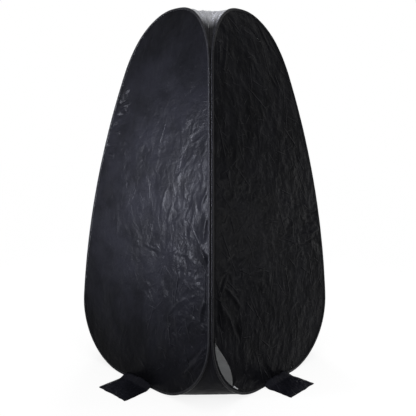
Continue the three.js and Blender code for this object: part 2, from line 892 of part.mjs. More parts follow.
add("zip_stop_foot", stopSolid().applyMatrix4(stopFrame(0, -stopOffset)), zipMetal, 0.4, 0.8);
const topStop = stopSolid().applyMatrix4(stopFrame(trackLength, stopOffset));
add("zip_stop_top", topStop, zipMetal, 0.4, 0.8);

export default group;
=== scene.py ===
"""Portable fitting room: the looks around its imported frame. Metres, +Z up, the door wall faces -Y."""

import math

import bmesh
import bpy
import numpy as np
from mathutils import Matrix, Vector
from mathutils.geometry import delaunay_2d_cdt


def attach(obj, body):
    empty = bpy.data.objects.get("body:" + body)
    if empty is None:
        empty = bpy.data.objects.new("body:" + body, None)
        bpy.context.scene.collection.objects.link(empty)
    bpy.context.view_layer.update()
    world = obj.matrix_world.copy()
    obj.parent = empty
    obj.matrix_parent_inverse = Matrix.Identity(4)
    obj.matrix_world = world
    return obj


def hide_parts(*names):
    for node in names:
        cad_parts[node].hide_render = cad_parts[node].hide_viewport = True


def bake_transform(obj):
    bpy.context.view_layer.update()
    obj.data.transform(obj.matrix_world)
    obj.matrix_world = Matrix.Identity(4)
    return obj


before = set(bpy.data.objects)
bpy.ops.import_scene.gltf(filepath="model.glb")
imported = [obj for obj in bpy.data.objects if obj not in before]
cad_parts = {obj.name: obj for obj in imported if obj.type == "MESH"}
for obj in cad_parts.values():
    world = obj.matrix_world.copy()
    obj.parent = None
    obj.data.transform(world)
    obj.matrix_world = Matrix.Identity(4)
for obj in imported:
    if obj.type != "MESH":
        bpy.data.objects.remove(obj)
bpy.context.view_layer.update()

# Camera at the photograph's viewing angle
CAMERA_AZIMUTH = math.radians(-45) - 0.0352
CAMERA_DISTANCE = 3.0
CAMERA_HEIGHT = 1.305
CAMERA_TILT = 0.14736
CAMERA_ROLL = 0.0076
CAMERA_LENS = 46.77
CAMERA_SENSOR = 36
CAMERA_SHIFT = 0.0043


def added(name, data):
    """A new object in the scene."""
    made = bpy.data.objects.new(name, data)
    bpy.context.scene.collection.objects.link(made)
    return made


def set_camera():
    data = bpy.data.cameras.new("camera")
    data.lens, data.sensor_width, data.shift_x = CAMERA_LENS, CAMERA_SENSOR, CAMERA_SHIFT
    camera = added("camera", data)
    sine, cosine = math.sin(CAMERA_AZIMUTH), math.cos(CAMERA_AZIMUTH)
    level = Vector((-sine, cosine, 0))
    forward = level * math.cos(CAMERA_TILT) - Vector((0, 0, math.sin(CAMERA_TILT)))
    right = Vector((cosine, sine, 0))
    upward = right.cross(forward)
    across = right * math.cos(CAMERA_ROLL) + upward * math.sin(CAMERA_ROLL)
    above = upward * math.cos(CAMERA_ROLL) - right * math.sin(CAMERA_ROLL)
    turn = Matrix((across, above, -forward)).transposed().to_4x4()
    place = Vector((sine * CAMERA_DISTANCE, -cosine * CAMERA_DISTANCE, CAMERA_HEIGHT))
    camera.matrix_world = Matrix.Translation(place) @ turn
    bpy.context.scene.camera = camera


set_camera()

# The bowed body, as in the frame
HEIGHT = 1.9
HALF_SPAN = 0.5
CROWN_DROP = 0.15
SHOULDER_LEAN = 0.3535
CROWN_LEAN = 0.158
FOOT_CORNER = 0.34
CROWN_RISE = 0.33
CROWN_POWER = 2.55
SLEEVE_TIP = 0.0049
SLEEVE_TIP_HALF = 0.003
CORNER_GAP = 0.0007
EDGE_INSET = SLEEVE_TIP + SLEEVE_TIP_HALF + CORNER_GAP
PANEL_TUCK = 0.0032
SHEET_EDGE_REACH = 0.0032
SHEET_EDGE_DEPTH = 0.0030

SHOULDER = HEIGHT - CROWN_DROP
CORNER_ARC = SHOULDER / SHOULDER_LEAN
CROWN_ARC = CROWN_DROP / CROWN_LEAN
SHOULDER_COSINE = math.sqrt(1 - SHOULDER_LEAN**2)
DIAGONAL_FOOT = HALF_SPAN * math.sqrt(2)
DIAGONAL_SHOULDER = DIAGONAL_FOOT - CORNER_ARC * (1 - SHOULDER_COSINE)


def lean(z):
    """Sine of a corner's inward lean at a height: a wide arc to the shoulder, a tight one above."""
    z = np.asarray(z, float)
    return np.where(z <= SHOULDER, z / CORNER_ARC, SHOULDER_LEAN + (z - SHOULDER) / CROWN_ARC)


def wall_reach(z):
    """Distance of a wall from the middle of the cabin at a height."""
    cosine = np.sqrt(1 - lean(z) ** 2)
    below = DIAGONAL_FOOT - CORNER_ARC * (1 - cosine)
    above = DIAGONAL_SHOULDER - CROWN_ARC * (SHOULDER_COSINE - cosine)
    return np.where(np.asarray(z) <= SHOULDER, below, above) / math.sqrt(2)


def wall_slope(z):
    """Change of a wall's reach with height."""
    sine = lean(z)
    return -sine / np.sqrt(1 - sine**2) / math.sqrt(2)


# Heights up the middle of a wall, a little past its top, and the lengths along the cloth there
PROFILE_STEPS = 2001
PROFILE_TOP = HEIGHT * 1.02
PROFILE_Z = np.linspace(0, PROFILE_TOP, PROFILE_STEPS)
STEP_SLOPES = wall_slope((PROFILE_Z[1:] + PROFILE_Z[:-1]) / 2)
PROFILE_S = np.concatenate([[0], np.cumsum(np.diff(PROFILE_Z) * np.hypot(1, STEP_SLOPES))])


def along_at(z):
    """Length up the cloth at a height."""
    return np.interp(z, PROFILE_Z, PROFILE_S)


def height_at(s):
    """Height at a length up the cloth."""
    s = np.asarray(s, float)
    return np.where(s < 0, s, np.interp(s, PROFILE_S, PROFILE_Z))


def wall_point(x, s, out=0.0):
    """Points of the door wall from its flat pattern: across, up the cloth and out of its face."""
    x, s, out = np.broadcast_arrays(np.asarray(x, float), s, out)
    z = height_at(s)
    tilt = -wall_slope(np.maximum(z, 0))
    size = np.hypot(1, tilt)
    return np.stack([x, -wall_reach(np.maximum(z, 0)) - out / size, z + out * tilt / size], -1)


QUARTERS = {"front": 0, "right": 1, "back": 2, "left": 3}


def quarter_turned(points, quarter):
    """Points of the door wall carried round to another wall."""
    cosine, sine = ((1, 0), (0, 1), (-1, 0), (0, -1))[quarter]
    x, y, z = points[..., 0], points[..., 1], points[..., 2]
    return np.stack([cosine * x - sine * y, sine * x + cosine * y, z], -1)


# Outlines in the flat pattern
JOIN_ROUNDS = 16
FINE_POINTS = 400
SIDE_POINTS = 300
DOOR_TOP_POINTS = 3000


def side_reach(z):
    """Distance of a loop's wire from the middle of its wall at a height."""
    return wall_reach(z) - EDGE_INSET


def corner_join():
    """Where a foot corner runs into the side: its turn, its place up the cloth and its centre."""
    along = SLEEVE_TIP + FOOT_CORNER
    for _ in range(JOIN_ROUNDS):
        turn = math.atan(-wall_slope(height_at(along)))
        along = SLEEVE_TIP + FOOT_CORNER * (1 + math.sin(turn))
    centre = float(side_reach(height_at(along))) - FOOT_CORNER * math.cos(turn)
    return turn, along, centre


JOIN_TURN, JOIN_ALONG, JOIN_CENTRE = corner_join()
TOP_SLOPE = float(wall_slope(HEIGHT))
LOOP_TOP = HEIGHT - (SLEEVE_TIP - SLEEVE_TIP_HALF * TOP_SLOPE) / math.hypot(1, TOP_SLOPE)
CROWN_START = HEIGHT - CROWN_RISE


def corner_points(shares, radius):
    """A round foot corner, from the foot at share 0 to the side at share 1."""
    angle = -math.pi / 2 + shares * (math.pi / 2 + JOIN_TURN)
    s = SLEEVE_TIP + FOOT_CORNER + radius * np.sin(angle)
    return np.stack([JOIN_CENTRE + radius * np.cos(angle), s], -1)


def crown_points(shares):
    """Half of the crown, from its side at share 0 to the top at share 1."""
    angle, power = shares * math.pi / 2, 2 / CROWN_POWER
    z = CROWN_START + (LOOP_TOP - CROWN_START) * np.sin(angle) ** power
    x = side_reach(z) * np.maximum(np.cos(angle), 0) ** power
    return np.stack([np.where(shares > 0.9999, 0, x), along_at(z)], -1)


def path_lengths(points):
    """Length along a flat path at each of its points."""
    steps = np.hypot(*np.diff(points, axis=0).T)
    return np.concatenate([[0], np.cumsum(steps)])


def evenly(points, pitch):
    """The same path with its points about a pitch apart."""
    lengths = path_lengths(points)
    count = max(int(round(lengths[-1] / pitch)), 2)
    wanted = np.linspace(0, lengths[-1], count + 1)
    return np.stack([np.interp(wanted, lengths, column) for column in points.T], -1)


def outward(points, way, closed=False):
    """Unit directions out of a path, in the flat pattern."""
    if closed:
        ring = np.concatenate([points[-1:], points, points[:1]])
        along = ring[2:] - ring[:-2]
    else:
        along = np.gradient(points, axis=0)
    along = along / np.hypot(*along.T)[:, None]
    return way * np.stack([along[:, 1], -along[:, 0]], -1)


def loop_half(pitch):
    """Half of a sprung loop's middle line, from the middle of the foot to the top."""
    fine = np.linspace(0, 1, FINE_POINTS)
    side_s = np.linspace(JOIN_ALONG, along_at(CROWN_START), SIDE_POINTS)[1:]
    side = np.stack([side_reach(height_at(side_s)), side_s], -1)
    foot = np.array([[0, SLEEVE_TIP]])
    parts = [foot, corner_points(fine, FOOT_CORNER), side, crown_points(fine[1:])]
    return evenly(np.concatenate(parts), pitch)


def loop_path(pitch):
    """Middle line of a sprung loop: up the right side and down the left, closed."""
    half = loop_half(pitch)
    return np.concatenate([half[:-1], (half * [-1, 1])[::-1][:-1]])


CLOTH_PITCH = 0.0062

# Zip track round the door
TRACK_INSET = 0.02
TRACK_FOOT_PAST = 0.012
TRACK_TOP_REACH = 0.09
DOOR_SHOULDER = HEIGHT - 0.75
DOOR_TOP = HEIGHT - 0.08
DOOR_POWER = 1.8
CLOTH_INSET = 0.0024
UPPER_SLIDER_HEIGHT = 0.357
LOWER_SLIDER_TURN = math.radians(36.5)
GAP_WIDTH = 0.055
GAP_SKEW = 0.8
GAP_FULLNESS = 0.8
GAP_CLOSED = 0.001
TAPE_RELIEF = 0.0042
RELIEF_BLEND = 0.03
SLIDER_RELIEF = 0.014
PULL_RELIEF = 0.044


def track_path():
    """The zip's line from the fold at the foot to the fold at the top, and both sliders' places on it."""
    fine = np.linspace(0, 1, FINE_POINTS)
    track_s = SLEEVE_TIP + TRACK_INSET
    foot_end = JOIN_CENTRE + TRACK_FOOT_PAST
    foot = np.array([[foot_end, track_s], [0, track_s]])
    corner = corner_points(fine, FOOT_CORNER - TRACK_INSET) * [-1, 1]
    side_s = np.linspace(corner[-1, 1], along_at(DOOR_SHOULDER), SIDE_POINTS)[1:]
    side = np.stack([-(side_reach(height_at(side_s)) - TRACK_INSET), side_s], -1)
    angle, power = np.linspace(0, 2, DOOR_TOP_POINTS)[1:] * math.pi / 2, 2 / DOOR_POWER
    z = DOOR_SHOULDER + (DOOR_TOP - DOOR_SHOULDER) * np.abs(np.sin(angle)) ** power
    flat = np.sign(np.cos(angle)) * np.abs(np.cos(angle)) ** power
    top = np.stack([-(side_reach(z) - TRACK_INSET) * flat, along_at(z)], -1)
    top = top[: int(np.argmax(top[:, 0] > TRACK_TOP_REACH)) + 1]
    lower = 2 * JOIN_CENTRE + TRACK_FOOT_PAST + (FOOT_CORNER - TRACK_INSET) * LOWER_SLIDER_TURN
    corner_length = path_lengths(np.concatenate([foot, corner]))[-1]
    upper = corner_length + along_at(UPPER_SLIDER_HEIGHT) - corner[-1, 1]
    return np.concatenate([foot, corner, side, top]), lower, float(upper)


def smooth_share(value, low, high):
    """A soft step from 0 at low to 1 at high."""
    share = np.clip((value - low) / (high - low), 0, 1)
    return share * share * (3 - 2 * share)


TRACK_RAW, LOWER_LENGTH, UPPER_LENGTH = track_path()


def gap_share(length):
    """Share of the open gap's full width along the track, from one slider to the other."""
    span = UPPER_LENGTH - LOWER_LENGTH - 2 * SLIDER_RELIEF
    within = np.clip((length - LOWER_LENGTH - SLIDER_RELIEF) / span, 0, 1)
    return np.maximum(np.sin(math.pi * within**GAP_SKEW), 0) ** GAP_FULLNESS


def stand_back(length):
    """How far the door cloth stands back from the track at lengths along it."""
    low, high = LOWER_LENGTH - PULL_RELIEF, UPPER_LENGTH + SLIDER_RELIEF
    step = smooth_share(length, low - RELIEF_BLEND, low)
    step = TAPE_RELIEF * step * (1 - smooth_share(length, high, high + RELIEF_BLEND))
    bulge = gap_share(length)
    return np.where(bulge > GAP_CLOSED, TAPE_RELIEF + (GAP_WIDTH - TAPE_RELIEF) * bulge, step)


def track_lines(pitch):
    """Track, leaf edge line and their outward directions, at one pitch."""
    track = evenly(TRACK_RAW, pitch)
    ways = outward(track, -1)
    leaf = track - stand_back(path_lengths(track))[:, None] * ways
    return track, ways, leaf, outward(leaf, -1)


FOLD_FOOT = wall_point(*TRACK_RAW[0])
FOLD_TOP = wall_point(*TRACK_RAW[-1])
FOLD_ROWS = np.arange(0, TRACK_RAW[-1, 1] + 0.1, CLOTH_PITCH)


def fold_x(s):
    """Place across the wall of the door's uncut fold."""
    share = (height_at(s) - FOLD_FOOT[2]) / (FOLD_TOP[2] - FOLD_FOOT[2])
    return FOLD_FOOT[0] + (FOLD_TOP[0] - FOLD_FOOT[0]) * share


def trimmed_by_fold(line, pitch):
    """A closed outline: a line round the door, cut off by the fold at both ends."""
    kept = line[line[:, 0] < fold_x(line[:, 1]) - pitch / 4]
    rows = FOLD_ROWS[(FOLD_ROWS > kept[0, 1]) & (FOLD_ROWS < kept[-1, 1])][::-1]
    rows = np.concatenate([kept[-1:, 1], rows, kept[:1, 1]])
    return np.concatenate([kept, np.stack([fold_x(rows), rows], -1)])


# Cloth relief: noise, pressed creases and gathers along the seams
LATTICE = 128
CREASE_FALL = 1.5
RAISED_SHARE = 0.7
SUNK_DEPTH = 0.8
BATCH = 4000


def lattice_noise(x, y, seed):
    """Smooth noise from -1 to 1 on a lattice of unit cells."""
    rng = np.random.RandomState(seed)
    angle = rng.uniform(0, 2 * math.pi, (LATTICE, LATTICE))
    gx, gy = np.cos(angle), np.sin(angle)
    x0, y0 = np.floor(x).astype(int), np.floor(y).astype(int)
    fx, fy = x - x0, y - y0
    wx, wy = fx**3 * (fx * (6 * fx - 15) + 10), fy**3 * (fy * (6 * fy - 15) + 10)

    def corner(i, j):
        a, b = (x0 + i) % LATTICE, (y0 + j) % LATTICE
        return gx[a, b] * (fx - i) + gy[a, b] * (fy - j)

    low = corner(0, 0) * (1 - wx) + corner(1, 0) * wx
    high = corner(0, 1) * (1 - wx) + corner(1, 1) * wx
    return 1.5 * (low * (1 - wy) + high * wy)


def line_noise(length, row, seed):
    """Smooth noise along a line, from one row across the lattice."""
    return lattice_noise(length, np.zeros(np.shape(length)) + row, seed)


def layered_noise(x, y, layers, seed):
    """Noise in layers, each (size across, size along, height)."""
    total = np.zeros(np.shape(x))
    for number, (across, along, height) in enumerate(layers):
        total += height * lattice_noise(x / across, y / along, seed + number)
    return total


def pressed(x, s, creases):
    """Height from creases, each (x, s, angle, length, width, height, curl)."""
    total = np.zeros(len(x))
    for cx, cs, angle, length, width, height, curl in creases:
        half = length / 2 + 3 * width
        near = np.nonzero((np.abs(x - cx) < half) & (np.abs(s - cs) < half))[0]
        dx, ds = x[near] - cx, s[near] - cs
        along = dx * math.cos(angle) + ds * math.sin(angle)
        aside = -dx * math.sin(angle) + ds * math.cos(angle) + curl * along**2 / length
        taper = np.clip(1 - (2 * along / length) ** 2, 0, 1)
        total[near] += height * np.exp(-np.abs(aside / width) ** CREASE_FALL) * taper
    return total


def scattered(seed, count, box, angles, lengths, widths, height):
    """Random creases in a box of the flat pattern, x and s from low to high."""
    rng = np.random.RandomState(seed)
    (x0, x1), (s0, s1) = box
    made = []
    for _ in range(count):
        angle = math.radians(rng.normal(*angles))
        length = rng.uniform(*lengths)
        rise = height * rng.uniform(0.35, 1) * (1 if rng.rand() < RAISED_SHARE else -SUNK_DEPTH)
        place = rng.uniform(x0, x1), rng.uniform(s0, s1)
        made.append((*place, angle, length, rng.uniform(*widths), rise, rng.uniform(-0.25, 0.25)))
    return made


def nearest(points, line):
    """Distance from each point to a line's points, and the length along the line there."""
    lengths = path_lengths(line)
    distance, length = np.empty(len(points)), np.empty(len(points))
    squares = (line**2).sum(1)
    for start in range(0, len(points), BATCH):
        part = points[start : start + BATCH]
        gaps = (part**2).sum(1)[:, None] + squares - 2 * part @ line.T
        best = gaps.argmin(1)
        distance[start : start + BATCH] = np.sqrt(np.maximum(gaps[np.arange(len(part)), best], 0))
        length[start : start + BATCH] = lengths[best]
    return distance, length


SEAM_PITCH = 0.004
SEAM_LINE = loop_path(SEAM_PITCH)
TRACK, TRACK_WAY, LEAF_LINE, LEAF_WAY = track_lines(SEAM_PITCH)

# Billows from wide to fine: size across and up the cloth, and height
BILLOWS = ((0.24, 0.33, 0.0035), (0.09, 0.13, 0.45 * 0.0035), (0.028, 0.04, 0.0006))
SEAM_HOLD = 0.016
GATHER_DEPTH = 0.0011
GATHER_PITCH = 0.011
GATHER_START = 0.003
GATHER_REACH = 0.011
GATHER_REACH_MORE = 0.012
DEPTH_CHANGES_OVER = 0.17
REACH_CHANGES_OVER = 0.05


def relief(x, s, creases, seed, seams):
    """How far the cloth stands out of the wall's even bow."""
    points = np.stack([x, s], -1)
    out = layered_noise(x, s, BILLOWS, seed) + pressed(x, s, creases)
    still = np.ones(len(x))
    gathers = np.zeros(len(x))
    for number, line in enumerate(seams):
        distance, length = nearest(points, line)
        still *= 1 - np.exp(-((distance / SEAM_HOLD) ** 2))
        ripple = line_noise(length / GATHER_PITCH, number + 0.5, seed + 3)
        ripple *= 0.6 + 0.8 * np.abs(line_noise(length / DEPTH_CHANGES_OVER, 0.3, seed + 4))
        uneven = np.abs(line_noise(length / REACH_CHANGES_OVER, 0.7, seed + 5))
        fade = np.exp(-distance / (GATHER_REACH + GATHER_REACH_MORE * uneven))
        gathers += ripple * fade * (1 - np.exp(-distance / GATHER_START))
    return out * still + GATHER_DEPTH * gathers


# Flat cut pieces
EDGE_CLEARANCE = 0.6
SAME_POINT = 1e-7


def inside(points, ring):
    """Which points lie inside a closed outline."""
    x, y = points.T
    odd = np.zeros(len(points), bool)
    for (ax, ay), (bx, by) in zip(ring, np.roll(ring, -1, axis=0)):
        if ay == by:
            continue
        crosses = (ay > y) != (by > y)
        odd ^= crosses & (x < ax + (y - ay) * (bx - ax) / (by - ay))
    return odd


def cut_cloth(rings, pitch):
    """Triangles of a flat cut: the first ring is its edge, the others are holes in it."""
    low, high = rings[0].min(0), rings[0].max(0)
    columns = np.arange(low[0], high[0], pitch)
    rows = np.arange(low[1], high[1], pitch * math.sqrt(3) / 2)
    grid_x, grid_y = np.meshgrid(columns, rows)
    grid_x[1::2] += pitch / 2
    points = np.stack([grid_x.ravel(), grid_y.ravel()], -1)

    def kept(candidates):
        inner = inside(candidates, rings[0])
        for hole in rings[1:]:
            inner &= ~inside(candidates, hole)
        return inner

    points = points[kept(points)]
    for ring in rings:
        points = points[nearest(points, ring)[0] > EDGE_CLEARANCE * pitch]
    edges, corners, start = [], [], 0
    for ring in rings:
        count = len(ring)
        edges += [(start + i, start + (i + 1) % count) for i in range(count)]
        corners.append(ring)
        start += count
    flat = np.concatenate([*corners, points])
    made = delaunay_2d_cdt([Vector(p) for p in flat.tolist()], edges, [], 0, SAME_POINT)
    flat = np.array([tuple(p) for p in made[0]])
    faces = np.array(made[2])
    faces = faces[kept(flat[faces].mean(1))]
    one, two = flat[faces[:, 1]] - flat[faces[:, 0]], flat[faces[:, 2]] - flat[faces[:, 0]]
    turned = one[:, 0] * two[:, 1] - one[:, 1] * two[:, 0] < 0
    faces[turned] = faces[turned][:, ::-1]
    return flat, faces


def marked(mesh, name, kind, domain, values):
    """Gives a mesh a named value at each of its points or edges."""
    mesh.attributes.new(name, kind, domain).data.foreach_set("value", values)


def new_piece(name, points, faces, flat, materials, crumple=None):
    """A mesh object with its flat pattern, in metres, as its UV map; its open edges stay crisp."""
    mesh = bpy.data.meshes.new(name)
    mesh.from_pydata(np.asarray(points).tolist(), [], [[int(i) for i in face] for face in faces])
    mesh.polygons.foreach_set("use_smooth", np.ones(len(mesh.polygons), bool))
    layer = mesh.uv_layers.new(name="pattern")
    corner_vertices = np.zeros(len(mesh.loops), int)
    mesh.loops.foreach_get("vertex_index", corner_vertices)
    layer.data.foreach_set("uv", np.asarray(flat, np.float32)[corner_vertices].ravel())
    if crumple is not None:
        marked(mesh, "crumple", "FLOAT", "POINT", crumple.astype(np.float32))
    for material in materials:
        mesh.materials.append(material)
    edges = np.zeros(len(mesh.loops), int)
    mesh.loops.foreach_get("edge_index", edges)
    open_edges = np.bincount(edges, minlength=len(mesh.edges)) == 1
    marked(mesh, "sharp_edge", "BOOLEAN", "EDGE", open_edges)
    return added(name, mesh)


def thickened(piece, thickness, lined=False):
    """Cloth with its real thickness inwards, and a lining on its inner face."""
    solidify = piece.modifiers.new("thickness", "SOLIDIFY")
    solidify.thickness, solidify.offset = thickness, -1
    if lined:
        solidify.material_offset = 1
    return piece


# Materials
# Scale of a wave texture whose bands lie about one metre apart
BAND_SCALE = 0.31831
THREAD_HEIGHT = 0.00004


def emptied(block):
    """A material's or world's node tree with nothing in it."""
    block.use_nodes = True
    block.node_tree.nodes.clear()
    return block.node_tree


def set_socket(tree, socket, value):
    """Gives a socket a value or another node's output."""
    if isinstance(value, bpy.types.NodeSocket):
        tree.links.new(value, socket)
    else:
        socket.default_value = value


def put(tree, kind, sockets, **settings):
    """A node with its settings and its sockets' values."""
    node = tree.nodes.new(kind)
    for key, value in settings.items():
        setattr(node, key, value)
    for key, value in sockets.items():
        set_socket(tree, node.inputs[key], value)
    return node


def new_finish(name):
    material = bpy.data.materials.new(name)
    tree = emptied(material)
    shader = tree.nodes.new("ShaderNodeBsdfPrincipled")
    put(tree, "ShaderNodeOutputMaterial", {"Surface": shader.outputs["BSDF"]})
    return material, tree, shader


def dressed(tree, shader, colour, rough, normal, gloss):
    """Gives a finish's shader its colour, roughness, relief and gloss."""
    sockets = {"Base Color": colour, "Roughness": rough, "Normal": normal, "Specular IOR Level": gloss}
    for name, value in sockets.items():
        set_socket(tree, shader.inputs[name], value)


def maths(tree, operation, *values):
    return put(tree, "ShaderNodeMath", dict(enumerate(values)), operation=operation).outputs[0]


def vector_maths(tree, operation, sockets):
    return put(tree, "ShaderNodeVectorMath", sockets, operation=operation).outputs[0]


def ramp(tree, value, low, high, start=0.0, end=1.0):
    sockets = {"Value": value, "From Min": low, "From Max": high, "To Min": start, "To Max": end}
    return put(tree, "ShaderNodeMapRange", sockets, interpolation_type="SMOOTHSTEP").outputs[0]


def mixed(tree, share, one, two):
    """Two colours mixed by a share."""
    return put(tree, "ShaderNodeMix", {0: share, 6: one, 7: two}, data_type="RGBA").outputs[2]


def noise(tree, vector, scale, detail=3.0, rough=0.55):
    sockets = {"Vector": vector, "Scale": scale, "Detail": detail, "Roughness": rough}
    return put(tree, "ShaderNodeTexNoise", sockets).outputs["Fac"]


def cells(tree, vector, scale):
    """Cells scattered over a flat pattern."""
    sockets = {"Vector": vector, "Scale": scale}
    return put(tree, "ShaderNodeTexVoronoi", sockets, voronoi_dimensions="2D").outputs


def bands(tree, vector, pitch, axis, wander=0.0, detail=2.0):
    """Even bands across an axis, about a pitch apart."""
    sockets = {"Vector": vector, "Scale": BAND_SCALE / pitch, "Distortion": wander, "Detail": detail}
    return put(tree, "ShaderNodeTexWave", sockets, bands_direction=axis, wave_profile="SIN").outputs["Fac"]


def scaled(tree, vector, scale, turn=0.0):
    """Places stretched and turned about the pattern's origin."""
    sockets = {"Vector": vector, "Scale": scale, "Rotation": (0, 0, turn)}
    return put(tree, "ShaderNodeMapping", sockets).outputs[0]


def flat_pattern(tree):
    """Places on the piece's flat cut, in metres."""
    return put(tree, "ShaderNodeUVMap", {}, uv_map="pattern").outputs[0]


def mark_of(tree, name):
    """A named value of the piece at each point."""
    return put(tree, "ShaderNodeAttribute", {}, attribute_name=name).outputs["Fac"]


# Where a stroke starts to fade towards its ends and where it has gone, as shares of its cell
STROKE_FADE = 0.08
STROKE_END = 0.46
STROKE_UNEVEN = 0.15


def strokes(tree, flat, scale, width, turn, spread, share):
    """Short straight creases: one in each wandering cell, each turned its own way."""
    cell = cells(tree, flat, scale)
    offset = vector_maths(tree, "SUBTRACT", {0: flat, 1: cell["Position"]})
    chance = put(tree, "ShaderNodeSeparateColor", {0: cell["Color"]}).outputs
    angle = maths(tree, "MULTIPLY_ADD", chance[0], spread, turn - spread / 2)
    sockets = {"Vector": offset, "Angle": angle}
    turned = put(tree, "ShaderNodeVectorRotate", sockets, rotation_type="Z_AXIS")
    axes = put(tree, "ShaderNodeSeparateXYZ", {0: turned.outputs[0]}).outputs
    line = ramp(tree, maths(tree, "ABSOLUTE", axes[1]), 0.0, width, 1.0, 0.0)
    along = maths(tree, "ABSOLUTE", axes[0])
    taper = ramp(tree, along, STROKE_FADE / scale, STROKE_END / scale, 1.0, 0.0)
    depth = ramp(tree, chance[1], 1 - share, 1 + STROKE_UNEVEN - share)
    return maths(tree, "MULTIPLY", maths(tree, "MULTIPLY", line, taper), depth)


def weave(tree, vector, pitch):
    """Warp and weft of a plain weave."""
    return maths(tree, "MAXIMUM", *(bands(tree, vector, pitch, axis) for axis in ("X", "Y")))


def bumped(tree, height, distance, normal=None):
    """Fine relief, over the relief that a normal already carries."""
    sockets = {"Height": height, "Distance": distance, "Strength": 1.0}
    if normal is not None:
        sockets["Normal"] = normal
    return put(tree, "ShaderNodeBump", sockets).outputs[0]


# Noises over a cloth: scale, detail and roughness
DYE_CLOUDS = 6.0, 4.0
LINT_SPECKS = 900.0, 1.0
SOFT_WAVES = 16.0, 2.0, 0.5
FINE_RIPPLES = 55.0, 2.0, 0.6
SHEEN_CLOUDS = (14.0,)
LINT_FROM, LINT_TO = 0.74, 0.78
WAVE_HEIGHT = 0.0045
LEAST_WAVES = 0.25
RIPPLE_HEIGHT = 0.0009
RUBBED_GAIN, RUBBED_LIFT = 1.35, 0.004
SHEEN_SPREAD = 0.06
THREAD_DULLING = 0.04

# Facets of crumpled cloth: scale and height
FACET_LAYERS = ((17.0, 0.0034), (35.0, 0.0013))
FACET_STRETCH = 1.0, 0.6, 1.0
FACET_TURN = 0.3
FACET_WANDER = 0.9

# Straight creases: scale, width, turn, spread of turns, share of cells and height
CREASE_LAYERS = (
    (4.6, 0.0060, 1.35, 1.3, 0.75, 0.0030),
    (8.0, 0.0050, 1.1, 2.0, 0.75, 0.0026),
    (13.0, 0.0038, 1.7, 3.1, 0.70, 0.0016),
    (26.0, 0.0026, 0.9, 3.1, 0.50, 0.0007),
)


def faceted(tree, flat, crumple, normal):
    """Small facets between the crossing creases of crumpled cloth."""
    for scale, height in FACET_LAYERS:
        bend = put(tree, "ShaderNodeTexNoise", {"Vector": flat, "Scale": scale * 0.5, "Detail": 2.0})
        shift = vector_maths(tree, "SCALE", {0: bend.outputs["Color"], "Scale": FACET_WANDER / scale})
        moved = vector_maths(tree, "ADD", {0: flat, 1: shift})
        moved = scaled(tree, moved, FACET_STRETCH, FACET_TURN)
        facets = maths(tree, "MULTIPLY", cells(tree, moved, scale)["Distance"], crumple)
        normal = bumped(tree, facets, height, normal)
    return normal


def painted_valley_shade_mixed(tree, flat, colour, painted_valley_shade):
    """Painted shade: the colour darkened towards the bottom of the roof's corner valleys, where shade
    falls, with an uneven edge.
    """
    shade_edge_noise = noise(tree, scaled(tree, flat, (4.0, 1.0, 1.0)), 9.0, 3.0)
    uneven = maths(tree, "MULTIPLY_ADD", shade_edge_noise, 0.5, -0.25)
    depth = ramp(tree, maths(tree, "ADD", mark_of(tree, "painted_valley_shade"), uneven), 0.0, 1.0)
    return mixed(tree, depth, colour, (*painted_valley_shade, 1))


def cloth_finish(name, dark, light, rough, gloss, pitch, creased=1.0, crumpled=False, painted_valley_shade=None):
    """Woven cloth: threads, straight creases with rubbed crests, cloudy dye and specks of lint."""
    material, tree, shader = new_finish(name)
    flat = flat_pattern(tree)
    threads = weave(tree, flat, pitch)
    waves = noise(tree, flat, *SOFT_WAVES)
    if crumpled:
        crumple = mark_of(tree, "crumple")
        waves = maths(tree, "MULTIPLY", waves, maths(tree, "ADD", crumple, LEAST_WAVES))
    normal = bumped(tree, threads, THREAD_HEIGHT)
    normal = bumped(tree, waves, WAVE_HEIGHT * creased, normal)
    normal = bumped(tree, noise(tree, flat, *FINE_RIPPLES), RIPPLE_HEIGHT * creased, normal)
    if crumpled:
        normal = faceted(tree, flat, crumple, normal)
    dye = ramp(tree, noise(tree, flat, *DYE_CLOUDS), 0.3, 0.7)
    colour = mixed(tree, dye, (*dark, 1), (*light, 1))
    rubbed = (*(min(1.0, c * RUBBED_GAIN + RUBBED_LIFT) for c in light), 1)
    for scale, width, turn, spread, share, height in CREASE_LAYERS:
        crease = strokes(tree, flat, scale, width, turn, spread, share)
        if crumpled:
            crease = maths(tree, "MULTIPLY", crease, crumple)
        normal = bumped(tree, crease, height * creased, normal)
        colour = mixed(tree, maths(tree, "MULTIPLY", crease, 0.5), colour, rubbed)
    lint = ramp(tree, noise(tree, flat, *LINT_SPECKS), LINT_FROM, LINT_TO)
    colour = mixed(tree, maths(tree, "MULTIPLY", lint, 0.3), colour, rubbed)
    # Painted shade, darkening the roof's colour down in its corner valleys
    if painted_valley_shade:
        colour = painted_valley_shade_mixed(tree, flat, colour, painted_valley_shade)
    sheen = noise(tree, flat, *SHEEN_CLOUDS)
    duller = ramp(tree, sheen, 0.25, 0.75, rough - SHEEN_SPREAD, rough + SHEEN_SPREAD)
    duller = maths(tree, "ADD", duller, maths(tree, "MULTIPLY", threads, THREAD_DULLING))
    dressed(tree, shader, colour, duller, normal, gloss)
    return material


TAPE_THREAD_PITCH = 0.0005
FUZZ_HEIGHT = 0.0004


